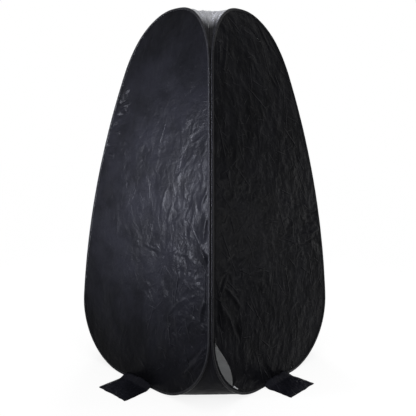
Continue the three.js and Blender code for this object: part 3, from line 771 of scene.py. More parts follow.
def ribbed_finish(name, dark, light, rough, gloss, rib, depth):
    """Narrow woven tape: ribs across it, fuzz and worn spots."""
    material, tree, shader = new_finish(name)
    flat = flat_pattern(tree)
    wear = ramp(tree, noise(tree, flat, 60.0, 4.0), 0.45, 0.75)
    colour = mixed(tree, wear, (*dark, 1), (*light, 1))
    duller = ramp(tree, noise(tree, flat, 25.0), 0.3, 0.7, rough - 0.07, rough + 0.07)
    normal = bumped(tree, weave(tree, flat, TAPE_THREAD_PITCH), THREAD_HEIGHT)
    normal = bumped(tree, bands(tree, flat, rib, "X", wander=0.4, detail=1.0), depth, normal)
    normal = bumped(tree, noise(tree, flat, 110.0, 3.0), FUZZ_HEIGHT, normal)
    dressed(tree, shader, colour, duller, normal, gloss)
    return material


PALE = 0.1
PALE_GLOSS, DARK_GLOSS = 0.5, 0.08


def hard_finish(name, dark, light, metallic, rough, grain, stretch, depth):
    """Metal, moulded nylon or sewing thread: a fine grain, smudges and paler worn places."""
    material, tree, shader = new_finish(name)
    place = put(tree, "ShaderNodeTexCoord", {}).outputs["Object"]
    lines = noise(tree, scaled(tree, place, stretch), grain, 4.0, 0.6)
    smudges = noise(tree, place, 180.0, 3.0)
    colour = mixed(tree, ramp(tree, smudges, 0.35, 0.7), (*dark, 1), (*light, 1))
    duller = ramp(tree, lines, 0.3, 0.7, rough - 0.08, rough + 0.1)
    gloss = PALE_GLOSS if light[0] > PALE else DARK_GLOSS
    dressed(tree, shader, colour, duller, bumped(tree, lines, depth), gloss)
    shader.inputs["Metallic"].default_value = metallic
    return material


WALL_CLOTH = cloth_finish(
    "black_taffeta", dark=(0.0036, 0.0037, 0.0046), light=(0.0066, 0.0067, 0.0086),
    rough=0.26, gloss=0.018, pitch=0.0007, creased=1.3, crumpled=True)
LINING = cloth_finish(
    "silver_lining", dark=(0.27, 0.275, 0.28), light=(0.33, 0.335, 0.34),
    rough=0.5, gloss=0.3, pitch=0.0007, creased=0.6)
# Silver-grey roof cloth; its last colour is the painted shade in the corner valleys
ROOF_CLOTH = cloth_finish(
    "silver_grey_taffeta", dark=(0.30, 0.305, 0.325), light=(0.42, 0.425, 0.45),
    rough=0.42, gloss=0.06, pitch=0.0007, creased=0.9, painted_valley_shade=(0.007, 0.007, 0.0085))
FLOOR_CLOTH = cloth_finish(
    "dark_grey_oxford", dark=(0.009, 0.009, 0.011), light=(0.015, 0.015, 0.018),
    rough=0.45, gloss=0.03, pitch=0.0011, creased=0.7)
POCKET_CLOTH = cloth_finish(
    "black_oxford", dark=(0.0055, 0.0056, 0.0078), light=(0.010, 0.0102, 0.0145),
    rough=0.32, gloss=0.022, pitch=0.0009, creased=0.9)
BINDING = ribbed_finish(
    "binding_tape", dark=(0.0075, 0.0077, 0.0095), light=(0.014, 0.0142, 0.017),
    rough=0.32, gloss=0.07, rib=0.0016, depth=0.00012)
ZIP_TAPE = ribbed_finish(
    "zip_tape_weave", dark=(0.008, 0.008, 0.009), light=(0.014, 0.014, 0.015),
    rough=0.6, gloss=0.04, rib=0.0008, depth=0.00008)
ZIP_COIL = hard_finish(
    "coil_nylon", dark=(0.012, 0.012, 0.013), light=(0.024, 0.024, 0.026),
    metallic=0.0, rough=0.4, grain=900.0, stretch=(1, 1, 1), depth=0.00003)
THREAD = hard_finish(
    "sewing_thread", dark=(0.014, 0.014, 0.016), light=(0.03, 0.03, 0.034),
    metallic=0.0, rough=0.6, grain=2600.0, stretch=(1, 1, 1), depth=0.00003)
# A near-black copy of the zip metal, for the upper slider, its pull and the stops
DARK_ZIP_METAL = hard_finish(
    "dark_zip_metal", dark=(0.012, 0.012, 0.013), light=(0.03, 0.03, 0.032),
    metallic=0.2, rough=0.4, grain=1400.0, stretch=(1, 1, 1), depth=0.00003)
ZIP_METAL = hard_finish(
    "cast_zip_metal", dark=(0.38, 0.39, 0.405), light=(0.52, 0.53, 0.55),
    metallic=0.35, rough=0.38, grain=1400.0, stretch=(1, 1, 1), depth=0.00003)
SPRING_STEEL = hard_finish(
    "drawn_spring_steel", dark=(0.42, 0.43, 0.45), light=(0.6, 0.61, 0.63),
    metallic=1.0, rough=0.34, grain=1500.0, stretch=(1, 1, 0.05), depth=0.00002)


# Wall cloth
LEVEL, UPRIGHT, EVERY_WAY = (20, 40), (85, 22), (60, 50)
WALL_SEED = 20

# Fine creases over a whole wall: count, place, angles, lengths, widths and height
FINE_CREASES = (90, ((-0.46, 0.46), (0.1, 1.7)), EVERY_WAY, (0.02, 0.09), (0.0035, 0.006), 0.0007)

# Zones of creases: a seed, then the same
CREASE_ZONES = {
    "front": (
        (31, 190, ((-0.44, -0.10), (0.1, 1.3)), UPRIGHT, (0.03, 0.12), (0.0045, 0.007), 0.0021),
        (32, 130, ((-0.12, 0.3), (0.2, 1.25)), UPRIGHT, (0.03, 0.11), (0.0045, 0.007), 0.0017),
        (33, 80, ((0.0, 0.44), (0.3, 0.8)), (55, 30), (0.04, 0.13), (0.0045, 0.006), 0.0016),
        (34, 34, ((0.12, 0.46), (0.64, 0.95)), (8, 10), (0.06, 0.2), (0.005, 0.009), 0.0055),
        (35, 40, ((-0.38, -0.2), (0.05, 0.3)), (93, 8), (0.06, 0.16), (0.005, 0.008), 0.0015),
    ),
    "left": (
        (41, 150, ((0.16, 0.46), (0.2, 1.35)), (70, 45), (0.03, 0.12), (0.0045, 0.007), 0.0012),
        (42, 70, ((0.05, 0.45), (0.3, 0.75)), (35, 50), (0.04, 0.15), (0.0045, 0.007), 0.0021),
        (43, 50, ((-0.38, -0.15), (0.9, 1.5)), (75, 25), (0.03, 0.09), (0.004, 0.006), 0.0010),
        (44, 26, ((-0.1, 0.08), (1.0, 1.3)), (40, 60), (0.02, 0.07), (0.004, 0.006), 0.0011),
    ),
}

# Zones of each hidden wall, whose seeds are counted on from the wall's own
EVEN_ZONES = (
    (50, 110, ((-0.45, 0.45), (0.25, 1.4)), UPRIGHT, (0.03, 0.13), (0.004, 0.007), 0.0012),
    (60, 60, ((-0.4, 0.4), (0.2, 0.9)), LEVEL, (0.04, 0.16), (0.004, 0.007), 0.0012),
)

# The large creases one by one: place across and up, angle, length, width, height and curl
LARGE_CREASES = {
    "front": [
        (-0.448, 0.49, 1.75, 0.24, 0.013, -0.014, 0.3),
        (-0.415, 0.50, 1.85, 0.2, 0.012, 0.008, 0.2),
        (-0.33, 0.53, -0.84, 0.19, 0.009, 0.010, 0.1),
        (-0.385, 0.60, 0.9, 0.14, 0.010, 0.008, 0.1),
        (-0.365, 0.43, -1.1, 0.2, 0.009, 0.008, 0.1),
        (-0.30, 0.36, -1.2, 0.14, 0.009, -0.008, 0.2),
        (-0.25, 0.76, 1.15, 0.22, 0.008, 0.003, 0.1),
        (0.33, 0.785, 0.04, 0.24, 0.009, -0.010, 0.15),
        (0.29, 0.685, 0.12, 0.26, 0.008, -0.009, -0.1),
        (0.36, 0.735, 0.2, 0.18, 0.009, 0.009, 0.1),
        (0.38, 0.84, 0.1, 0.15, 0.008, -0.008, 0.1),
        (-0.21, 1.63, 1.25, 0.28, 0.009, 0.009, 0.15),
        (-0.24, 1.68, 1.3, 0.13, 0.018, 0.011, 0.1),
        (-0.034, 1.262, 1.55, 0.11, 0.005, 0.002, 0.0),
        (0.15, 1.79, -1.1, 0.2, 0.009, 0.004, -0.2),
        (0.152, 1.578, -0.95, 0.17, 0.006, 0.0025, 0.1),
        (-0.002, 0.88, 1.57, 0.26, 0.0055, 0.002, 0.05),
    ],
    "left": [
        (0.385, 0.99, 1.2, 0.12, 0.012, 0.005, 0.3),
        (0.41, 0.86, 1.5, 0.14, 0.013, 0.006, 0.3),
        (0.425, 0.73, 2.2, 0.13, 0.011, 0.009, -0.3),
        (0.121, 0.955, 1.38, 0.13, 0.005, 0.0028, 0.05),
        (0.325, 0.865, 1.5, 0.16, 0.005, 0.0026, 0.05),
        (0.40, 0.22, 0.85, 0.22, 0.0065, 0.009, 0.1),
        (0.37, 0.20, 0.87, 0.18, 0.006, 0.008, 0.1),
        (0.435, 0.235, 0.83, 0.14, 0.006, 0.008, 0.0),
        (0.385, 0.25, 0.80, 0.16, 0.006, -0.007, 0.0),
        (0.44, 0.29, 0.9, 0.12, 0.006, 0.007, 0.1),
        (0.30, 0.50, 0.6, 0.2, 0.007, 0.0026, 0.3),
        (0.43, 0.49, 1.4, 0.1, 0.010, 0.009, 0.2),
        (0.04, 0.106, -0.72, 0.1, 0.006, 0.0022, 0.1),
        (-0.275, 1.458, 0.4, 0.11, 0.011, -0.009, 0.1),
        (-0.27, 1.385, 0.25, 0.11, 0.011, -0.009, -0.1),
        (-0.285, 1.50, 0.5, 0.10, 0.009, 0.007, 0.0),
        (-0.285, 1.42, 0.35, 0.10, 0.009, 0.008, 0.0),
        (-0.30, 1.33, 0.2, 0.11, 0.011, -0.008, 0.1),
        (-0.315, 1.28, 0.1, 0.09, 0.009, 0.007, 0.0),
        (-0.335, 1.215, 0.1, 0.09, 0.010, -0.006, 0.0),
        (-0.345, 1.16, 0.05, 0.09, 0.009, 0.005, 0.1),
    ],
}


def wall_creases(side):
    """Creases of each wall in its flat pattern, from the fold lines it was packed in."""
    seed = WALL_SEED + QUARTERS[side]
    made = scattered(seed, *FINE_CREASES)
    if side in CREASE_ZONES:
        for zone in CREASE_ZONES[side]:
            made += scattered(*zone)
        return made + LARGE_CREASES[side]
    for first, *zone in EVEN_ZONES:
        made += scattered(first + seed, *zone)
    return made


CRUMPLE_CLOUD = 0.16, 0.22
CRUMPLE_SEED = 700


def crumpling(side, x, s):
    """How strongly each place of a wall was creased in its pack, from 0 to 1."""
    across, along = CRUMPLE_CLOUD
    clouds = 0.5 + 0.5 * lattice_noise(x / across, s / along, CRUMPLE_SEED + QUARTERS[side])
    if side == "left":
        share = 0.13 + 0.75 * smooth_share(x, 0.0, 0.3) * (1 - smooth_share(s, 0.6, 0.95))
    elif side == "front":
        share = 0.75 + 0.6 * (1 - smooth_share(s, 1.1, 1.6)) * (1 - 0.5 * smooth_share(x, -0.1, 0.3))
    else:
        share = 0.5 + 0.3 * (1 - smooth_share(s, 0.9, 1.5))
    return np.clip(share * (0.55 + 0.9 * clouds), 0, 1)


WALL_THICKNESS = 0.0006
PATTERN_STEP = 1.2
RELIEF_SEED = 100


def loop_cut():
    """Outline of a whole wall's cloth, whose edge is tucked into the binding."""
    ring = loop_path(CLOTH_PITCH)
    return ring - PANEL_TUCK * outward(ring, 1, closed=True)


def wall_piece(name, side, cut, seams):
    """A cut laid on its wall, with its relief, thickness and lining."""
    flat, faces = cut
    x, s = flat.T
    out = relief(x, s, wall_creases(side), RELIEF_SEED + 10 * QUARTERS[side], seams)
    points = quarter_turned(wall_point(x, s, out), QUARTERS[side])
    pattern = flat + [PATTERN_STEP * QUARTERS[side], 0]
    piece = new_piece(name, points, faces, pattern, [WALL_CLOTH, LINING], crumpling(side, x, s))
    return thickened(piece, WALL_THICKNESS, lined=True)


def plain_walls():
    ring = loop_cut()
    cut = cut_cloth([ring], CLOTH_PITCH)
    for side in ("left", "right", "back"):
        piece = wall_piece(f"wall_cloth_{side}", side, cut, [SEAM_LINE])
        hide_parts(f"wall_{side}")
        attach(piece, "tent")


FRONT_SEAMS = [SEAM_LINE, TRACK, LEAF_LINE]


def bends_at_fold(piece):
    """Bakes the piece's placement into its points."""
    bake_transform(piece)


def door_wall():
    """The door wall's fixed cloth round the doorway, and the door leaf cut from the same pattern."""
    ring = loop_cut()
    track, way, leaf, leaf_way = track_lines(CLOTH_PITCH)
    doorway = trimmed_by_fold(track + CLOTH_INSET * way, CLOTH_PITCH)
    leaf_ring = trimmed_by_fold(leaf - CLOTH_INSET * leaf_way, CLOTH_PITCH)
    cut = cut_cloth([ring, doorway], CLOTH_PITCH)
    wall = wall_piece("wall_cloth_front", "front", cut, FRONT_SEAMS)
    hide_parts("wall_front")
    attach(wall, "tent")
    cut = cut_cloth([leaf_ring], CLOTH_PITCH)
    door = wall_piece("door_cloth", "front", cut, FRONT_SEAMS)
    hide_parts("door_leaf")
    bends_at_fold(door)


# Binding over the sprung loops
BINDING_RADIUS = 0.0047
BINDING_TURN = math.radians(128)
BINDING_POINTS = 19
BINDING_LIP = np.array([[-0.0088, 0.0013], [-0.0072, 0.0016], [-0.0052, 0.0025]])
BINDING_THICKNESS = 0.0005
BINDING_PITCH = 0.005
FULLEST_SWELL = 1.06

# Swellings along a binding: size, height, row of noise and seed
SWELLINGS = ((0.013, 0.055, 0.5, 300), (0.05, 0.05, 1.5, 310))


def binding_section():
    """Across and out, from one lip round the wire to the other."""
    angle = np.linspace(BINDING_TURN, -BINDING_TURN, BINDING_POINTS)
    round_part = np.stack([BINDING_RADIUS * np.cos(angle), BINDING_RADIUS * np.sin(angle)], -1)
    return np.concatenate([BINDING_LIP, round_part, (BINDING_LIP * [1, -1])[::-1]])


def swept_strip(name, line, way, section, finish, quarter=0, closed=False, swell=1.0, flip=False):
    """Cloth strip along a line of the flat pattern; swell scales its section at each step."""
    count, wide = len(line), len(section)
    across = section[:, 0][None, :] * np.ones((count, 1))
    out = section[:, 1][None, :] * (np.ones((count, wide)) * swell)
    x = line[:, 0][:, None] + across * way[:, 0][:, None]
    s = line[:, 1][:, None] + across * way[:, 1][:, None]
    points = quarter_turned(wall_point(x, s, out), quarter).reshape(-1, 3)
    flat = np.stack(np.meshgrid(path_lengths(line), path_lengths(section), indexing="ij"), -1)
    faces = []
    for i in range(count if closed else count - 1):
        here, ahead = i * wide, ((i + 1) % count) * wide
        faces += [(here + j, ahead + j, ahead + j + 1, here + j + 1) for j in range(wide - 1)]
    piece = new_piece(name, points, faces, flat.reshape(-1, 2), [finish])
    if flip:
        piece.data.flip_normals()
    return piece


def bindings():
    line = loop_path(BINDING_PITCH)
    way = outward(line, 1, closed=True)
    section = binding_section()
    lengths = path_lengths(line)
    for side, quarter in QUARTERS.items():
        noises = (height * line_noise(lengths / size, row, seed + quarter)
                  for size, height, row, seed in SWELLINGS)
        swell = np.minimum(1 + sum(noises), FULLEST_SWELL)[:, None]
        piece = swept_strip(f"edge_binding_{side}", line, way, section, BINDING, quarter,
                            closed=True, swell=swell, flip=True)
        thickened(piece, BINDING_THICKNESS)
        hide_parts(f"edge_sleeve_{side}")
        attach(piece, "tent")


# Rows made by Geometry Nodes: stitches and the zip's coils
BEAD_UNEVEN = 0.12
BEAD_SEED = 11
BEAD_INPUTS = ("Pitch", "Length", "Width", "Height")


def bead_tree():
    """Beads set along a path, standing on the surface that its out attribute points away from."""
    tree = bpy.data.node_groups.new("beads_along_a_path", "GeometryNodeTree")
    tree.interface.new_socket("Path", in_out="INPUT", socket_type="NodeSocketGeometry")
    for label in BEAD_INPUTS:
        tree.interface.new_socket(label, in_out="INPUT", socket_type="NodeSocketFloat")
    tree.interface.new_socket("Finish", in_out="INPUT", socket_type="NodeSocketMaterial")
    tree.interface.new_socket("Row", in_out="OUTPUT", socket_type="NodeSocketGeometry")
    given = tree.nodes.new("NodeGroupInput").outputs
    curve = put(tree, "GeometryNodeMeshToCurve", {"Mesh": given["Path"]})
    sockets = {"Curve": curve.outputs[0], "Length": given["Pitch"]}
    points = put(tree, "GeometryNodeCurveToPoints", sockets, mode="LENGTH")
    away = put(tree, "GeometryNodeInputNamedAttribute", {"Name": "out"}, data_type="FLOAT_VECTOR")
    sockets = {"Vector": points.outputs["Tangent"]}
    along = put(tree, "FunctionNodeAlignRotationToVector", sockets, axis="X")
    sockets = {"Rotation": along.outputs[0], "Vector": away.outputs["Attribute"]}
    upright = put(tree, "FunctionNodeAlignRotationToVector", sockets, axis="Z", pivot_axis="X")
    ball = put(tree, "GeometryNodeMeshUVSphere", {"Segments": 6, "Rings": 4, "Radius": 0.5})
    sockets = {"X": given["Length"], "Y": given["Width"], "Z": given["Height"]}
    size = put(tree, "ShaderNodeCombineXYZ", sockets)
    sockets = {"Geometry": ball.outputs[0], "Scale": size.outputs[0]}
    bead = put(tree, "GeometryNodeTransform", sockets)
    sockets = {"Min": 1 - BEAD_UNEVEN, "Max": 1 + BEAD_UNEVEN, "Seed": BEAD_SEED}
    chance = put(tree, "FunctionNodeRandomValue", {}, data_type="FLOAT")
    for socket in chance.inputs:
        if socket.enabled and socket.name in sockets:
            socket.default_value = sockets[socket.name]
    uneven = next(socket for socket in chance.outputs if socket.enabled)
    sockets = {"Points": points.outputs["Points"], "Instance": bead.outputs[0],
               "Rotation": upright.outputs[0], "Scale": uneven}
    row = put(tree, "GeometryNodeInstanceOnPoints", sockets)
    real = put(tree, "GeometryNodeRealizeInstances", {"Geometry": row.outputs[0]})
    sockets = {"Geometry": real.outputs[0], "Material": given["Finish"]}
    finished = put(tree, "GeometryNodeSetMaterial", sockets)
    put(tree, "NodeGroupOutput", {"Row": finished.outputs[0]})
    return tree


BEADS = bead_tree()


def bead_row(name, paths, sizes, finish):
    """One plain mesh of beads along paths, each (points, out directions, closed)."""
    points, outs, edges = [], [], []
    for path, out, closed in paths:
        start = len(points)
        points += path.tolist()
        outs += out.tolist()
        edges += [(start + i, start + i + 1) for i in range(len(path) - 1)]
        if closed:
            edges.append((start + len(path) - 1, start))
    mesh = bpy.data.meshes.new(name)
    mesh.from_pydata(points, edges, [])
    attribute = mesh.attributes.new("out", "FLOAT_VECTOR", "POINT")
    attribute.data.foreach_set("vector", np.asarray(outs, np.float32).ravel())
    piece = added(name, mesh)
    modifier = piece.modifiers.new("beads", "NODES")
    modifier.node_group = BEADS
    given = dict(zip(BEAD_INPUTS, sizes), Finish=finish)
    for socket in BEADS.interface.items_tree:
        if socket.in_out == "INPUT" and socket.name in given:
            modifier[socket.identifier] = given[socket.name]
    whole = bpy.context.evaluated_depsgraph_get()
    made = bpy.data.meshes.new_from_object(piece.evaluated_get(whole), depsgraph=whole)
    piece.modifiers.clear()
    piece.data = made
    made.polygons.foreach_set("use_smooth", np.ones(len(made.polygons), bool))
    return piece


def wall_line(line, way, across, out, quarter, closed):
    """A path on a wall and the directions out of the wall along it."""
    x, s = line[:, 0] + across * way[:, 0], line[:, 1] + across * way[:, 1]
    base = wall_point(x, s, out)
    away = wall_point(x, s, out + 1) - base
    return quarter_turned(base, quarter), quarter_turned(away, quarter), closed


# Pitch along the row, and each bead's length, width and height
STITCH = (0.0042, 0.0029, 0.0007, 0.0006)
COIL = (0.0013, 0.0014, 0.0033, 0.0014)
STITCH_PATH_PITCH = 0.012
BINDING_STITCH_LINE = 0.0066
BINDING_STITCH_OUT = 0.00195
HEM_LINE = CLOTH_INSET + 0.0020
HEM_STITCH_OUT = 0.0004


def seams():
    line = loop_path(STITCH_PATH_PITCH)
    way = outward(line, 1, closed=True)
    track, track_way = TRACK[2:-2], TRACK_WAY[2:-2]
    for side, quarter in QUARTERS.items():
        outs = (BINDING_STITCH_OUT, -BINDING_STITCH_OUT)
        paths = [wall_line(line, way, -BINDING_STITCH_LINE, out, quarter, True) for out in outs]
        if side == "front":
            paths.append(wall_line(track, track_way, HEM_LINE, HEM_STITCH_OUT, quarter, False))
        piece = bead_row(f"binding_stitches_{side}", paths, STITCH, THREAD)
        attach(piece, "tent")
    path = wall_line(LEAF_LINE[2:-2], LEAF_WAY[2:-2], -HEM_LINE, HEM_STITCH_OUT, 0, False)
    piece = bead_row("door_edge_stitches", [path], STITCH, THREAD)
    bends_at_fold(piece)


# Zip: woven tapes and coils; its sliders and stops are the frame's own
TAPE_WIDTH = 0.0105
TAPE_START = 0.0001
TAPE_SECTION = np.array([[TAPE_START, -0.001], [0.0034, -0.0012], [0.0068, -0.00135],
                         [TAPE_START + TAPE_WIDTH, -0.0014]])
TAPE_THICKNESS = 0.0006
FOLD_CLEARANCE = 0.003
COIL_LINE = 0.00165
COIL_OUT = -0.0021


def zip_parts():
    ends = fold_x(TRACK[:, 1]) - FOLD_CLEARANCE
    short = TRACK[:, 0] < ends
    leaf = TRACK - (GAP_WIDTH * gap_share(path_lengths(TRACK)))[:, None] * TRACK_WAY
    leaf = leaf[leaf[:, 0] < ends]
    tapes = (("frame", TRACK[short], TRACK_WAY[short], 1), ("leaf", leaf, outward(leaf, -1), -1))
    for name, line, way, side in tapes:
        section = TAPE_SECTION * [side, 1]
        tape = swept_strip(f"zip_tape_{name}_cloth", line, way, section, ZIP_TAPE, flip=side < 0)
        thickened(tape, TAPE_THICKNESS)
        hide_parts(f"zip_tape_{name}")
        path = wall_line(line[1:-1], way[1:-1], side * COIL_LINE, COIL_OUT, 0, False)
        coil = bead_row(f"zip_coil_{name}", [path], COIL, ZIP_COIL)
        for piece in (tape, coil):
            if name == "frame":
                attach(piece, "tent")
            else:
                bends_at_fold(piece)


# Roof and floor cloth between neighbouring loops
ROOF_SAG = 0.06
# Painted shade in the roof's corner valleys: full below one height and gone above the other, which lies
# higher away from each corner
PAINTED_SHADE_FULL_BELOW = 1.77
SILVER_ABOVE = 1.85
SILVER_POINT = 0.02
SPANS = 72
STRIP_STEP = 0.9
WELDS_PER_METRE = 20000
SHORTEST = 1e-9

# Puckers of a strip from wide to fine: size across and along, and share of the depth
PUCKERS = ((0.05, 0.16, 1.0), (0.022, 0.09, 0.6), (0.014, 0.018, 0.35))


def edge_pair(line, way, reach=SHEET_EDGE_REACH, depth=SHEET_EDGE_DEPTH):
    """Two neighbouring loops' edge points at a corner: on the door wall and on the left wall."""
    x = line[:, 0] + reach * way[:, 0]
    s = line[:, 1] + reach * way[:, 1]
    front = wall_point(-x, s, -depth)
    return front, front[:, [1, 0, 2]]


def rulings(line, way, sag, drop):
    """Level rows from loop to loop, each sagging inwards or, where drop is 1, downwards."""
    start, end = edge_pair(line, way)
    share = np.linspace(0, 1, SPANS + 1)[None, :, None]
    inward = np.array([1, 1, 0]) / math.sqrt(2)
    drop = np.asarray(drop)[:, None]
    sag_way = inward * (1 - drop) + np.array([0, 0, -1.0]) * drop
    sag_way = sag_way / np.linalg.norm(sag_way, axis=1)[:, None]
    depth = 4 * share * (1 - share) * sag * np.linalg.norm(end - start, axis=1)[:, None, None]
    return start[:, None] + (end - start)[:, None] * share + depth * sag_way[:, None]


def welded(patches):
    """Grids of points joined where they meet; each is (points, flat pattern)."""
    keys, points, flats, faces = {}, [], [], []
    for grid, flat in patches:
        rows, columns = grid.shape[:2]
        numbers = np.empty((rows, columns), int)
        for i in range(rows):
            for j in range(columns):
                key = tuple(np.round(grid[i, j] * WELDS_PER_METRE).astype(int))
                if key not in keys:
                    keys[key] = len(points)
                    points.append(grid[i, j])
                    flats.append(flat[i, j])
                numbers[i, j] = keys[key]
        for i in range(rows - 1):
            for j in range(columns - 1):
                face = [numbers[i, j], numbers[i, j + 1], numbers[i + 1, j + 1], numbers[i + 1, j]]
                face = list(dict.fromkeys(face))
                if len(face) > 2:
                    faces.append(face)
    return np.array(points), faces, np.array(flats)


def lengths_in_space(points):
    """Length along a path at each of its points."""
    steps = np.linalg.norm(np.diff(points, axis=0), axis=1)
    return np.concatenate([[0], np.cumsum(steps)])


def pattern_of(grid, shift):
    """Flat pattern of a grid from the lengths along its rows and columns."""
    across = lengths_in_space(grid[grid.shape[0] // 2])
    along = lengths_in_space(grid[:, grid.shape[1] // 2])
    u, v = np.meshgrid(across - across[-1] / 2, along)
    return np.stack([u, v], -1) + shift


def grid_normals(grid):
    """Unit directions out of a grid's surface."""
    normal = np.cross(np.gradient(grid, axis=1), np.gradient(grid, axis=0))
    return normal / np.maximum(np.linalg.norm(normal, axis=2), SHORTEST)[..., None]


def puckered(grid, flat, seed, depth):
    """Soft wrinkles over a grid, still at the two edges that are sewn."""
    share = np.linspace(0, 1, grid.shape[1])[None, :]
    still = np.clip(4 * share * (1 - share), 0, 1) ** 0.6
    height = layered_noise(flat[..., 0], flat[..., 1], PUCKERS, seed)
    return grid + grid_normals(grid) * (depth * still * height)[..., None]


FOLD_COUNT = 7
FOLD_WIDTH = 0.0048
FOLD_HEIGHT = 0.0062
FOLDS_FULL_AT = 0.05


def gathered(grid, seed):
    """Folds that fan out of the narrow end of a corner strip."""
    rows, columns = grid.shape[:2]
    rng = np.random.RandomState(seed)
    height = np.linspace(0, 1, rows)[:, None]
    share = np.linspace(0, 1, columns)[None, :]
    width = np.linalg.norm(grid[:, -1] - grid[:, 0], axis=1)[:, None]
    total = np.zeros((rows, columns))
    for place in np.linspace(0.1, 0.9, FOLD_COUNT) + rng.uniform(-0.04, 0.04, FOLD_COUNT):
        line = 0.5 + (place - 0.5) * (0.55 + 0.5 * height) + 0.02 * rng.randn()
        depth = rng.uniform(0.35, 1) * rng.choice([1, -1])
        reach = smooth_share(height, 0.1, 0.35) * (1 - smooth_share(height, rng.uniform(0.65, 0.9), 1))
        total += depth * reach * np.exp(-np.abs((share - line) * width / FOLD_WIDTH) ** CREASE_FALL)
    still = np.clip(8 * share * (1 - share), 0, 1)
    narrow = np.minimum(width / FOLDS_FULL_AT, 1)
    return grid + grid_normals(grid) * (FOLD_HEIGHT * total * still * narrow)[..., None]


def corner_strips(rows, seed, depth, gather_seed=None):
    """A sheet's four corner strips, each a quarter turn on from the last."""
    strips = []
    for quarter in range(4):
        grid = quarter_turned(rows, quarter)
        flat = pattern_of(grid, (STRIP_STEP * quarter, 0))
        if gather_seed:
            grid = gathered(grid, gather_seed + 10 * quarter)
        strips.append((puckered(grid, flat, seed + quarter, depth), flat))
    return strips


def square_patch(edges):
    """Smooth patch inside four edge lines, named by the side that each one faces."""
    front_left, front_right, left_back, right_back = edges
    u = np.linspace(0, 1, len(front_left))[:, None, None]
    v = np.linspace(0, 1, len(front_right))[None, :, None]
    along = front_left[:, None] * (1 - v) + right_back[:, None] * v
    over = front_right[None, :] * (1 - u) + left_back[None, :] * u
    near = front_left[0] * (1 - v) + front_right[-1] * v
    far = front_left[-1] * (1 - v) + left_back[-1] * v
    return along + over - (near * (1 - u) + far * u)


ROOF_THICKNESS = 0.0005
ROOF_ROWS = 70
ROOF_PUCKERS = 0.0022
ROOF_SEED, ROOF_GATHER_SEED = 400, 430
VALLEY_WIDTH = 0.10


def roof():
    shares = np.linspace(0, 1, ROOF_ROWS)
    line = crown_points(shares)
    way = outward(line, 1)
    way[-1] = (0, 1)
    rows = rulings(line, way, ROOF_SAG, shares)
    patches = corner_strips(rows, ROOF_SEED, ROOF_PUCKERS, ROOF_GATHER_SEED)
    sides = [quarter_turned(rows[-1], quarter) for quarter in range(4)]
    middle = square_patch((sides[0], sides[1][::-1], sides[3], sides[2][::-1]))[:, ::-1]
    patches.append((middle, pattern_of(middle, (0, 2.0))))
    points, faces, flat = welded(patches)
    faces = [face[::-1] for face in faces]
    piece = new_piece("roof_cloth", points, faces, flat, [ROOF_CLOTH, LINING])
    # Painted shade: how deep each point lies in a corner valley, from 0 where the silver is full to 1
    # where the shade is darkest
    off_corner = np.abs(np.abs(points[:, 0]) - np.abs(points[:, 1]))
    aside = np.minimum(off_corner / VALLEY_WIDTH, 1) ** 1.3
    painted_valley_shade = (SILVER_ABOVE + SILVER_POINT * aside - points[:, 2]) / (SILVER_ABOVE - PAINTED_SHADE_FULL_BELOW)
    marked(piece.data, "painted_valley_shade", "FLOAT", "POINT", painted_valley_shade.astype(np.float32))
    thickened(piece, ROOF_THICKNESS, lined=True)
    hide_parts("roof_sheet")
    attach(piece, "tent")


SEAM_TAPE_TUCK = 0.0022
SEAM_TAPE_DEPTH = 0.0048
SEAM_TAPE_THICKNESS = 0.0004
SEAM_TAPE_OVERLAP = 0.012
SEAM_TAPE_PITCH = 0.008
SEAM_TAPE_POINTS = 5
SEAM_TAPE_FLAT = 0.0085


def corner_seams():
    """Tapes that join neighbouring bindings behind each corner, from the floor cloth up to the roof."""
    low, high = JOIN_ALONG - SEAM_TAPE_OVERLAP, along_at(CROWN_START) + SEAM_TAPE_OVERLAP
    along = np.arange(low, high, SEAM_TAPE_PITCH)
    line = np.stack([side_reach(height_at(along)), along], -1)
    start, end = edge_pair(line, outward(line, 1), -SEAM_TAPE_TUCK, SEAM_TAPE_DEPTH)
    share = np.linspace(0, 1, SEAM_TAPE_POINTS)[None, :, None]
    grid = start[:, None] * (1 - share) + end[:, None] * share
    across = np.linspace(0, SEAM_TAPE_FLAT, SEAM_TAPE_POINTS)
    pattern = np.stack(np.meshgrid(along, across, indexing="ij"), -1)
    for side, quarter in QUARTERS.items():
        points, faces, flat = welded([(quarter_turned(grid, quarter), pattern)])
        piece = new_piece(f"corner_seam_tape_{side}", points, faces, flat, [BINDING])
        thickened(piece, SEAM_TAPE_THICKNESS)
        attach(piece, "tent")


FLOOR_THICKNESS = 0.0004
FLOOR_ROWS = 41
FLOOR_SIDE_POINTS = 25
FLOOR_RINGS = 46
FLOOR_PUCKERS = 0.0012
FLOOR_BUMPS = 0.0022
FLOOR_SEED, BUMP_SEED = 500, 520

# Bumps of the floor cloth: size across and along, and share of their height
BUMP_LAYERS = ((0.11, 0.09, 1.0), (0.04, 0.05, 0.5))


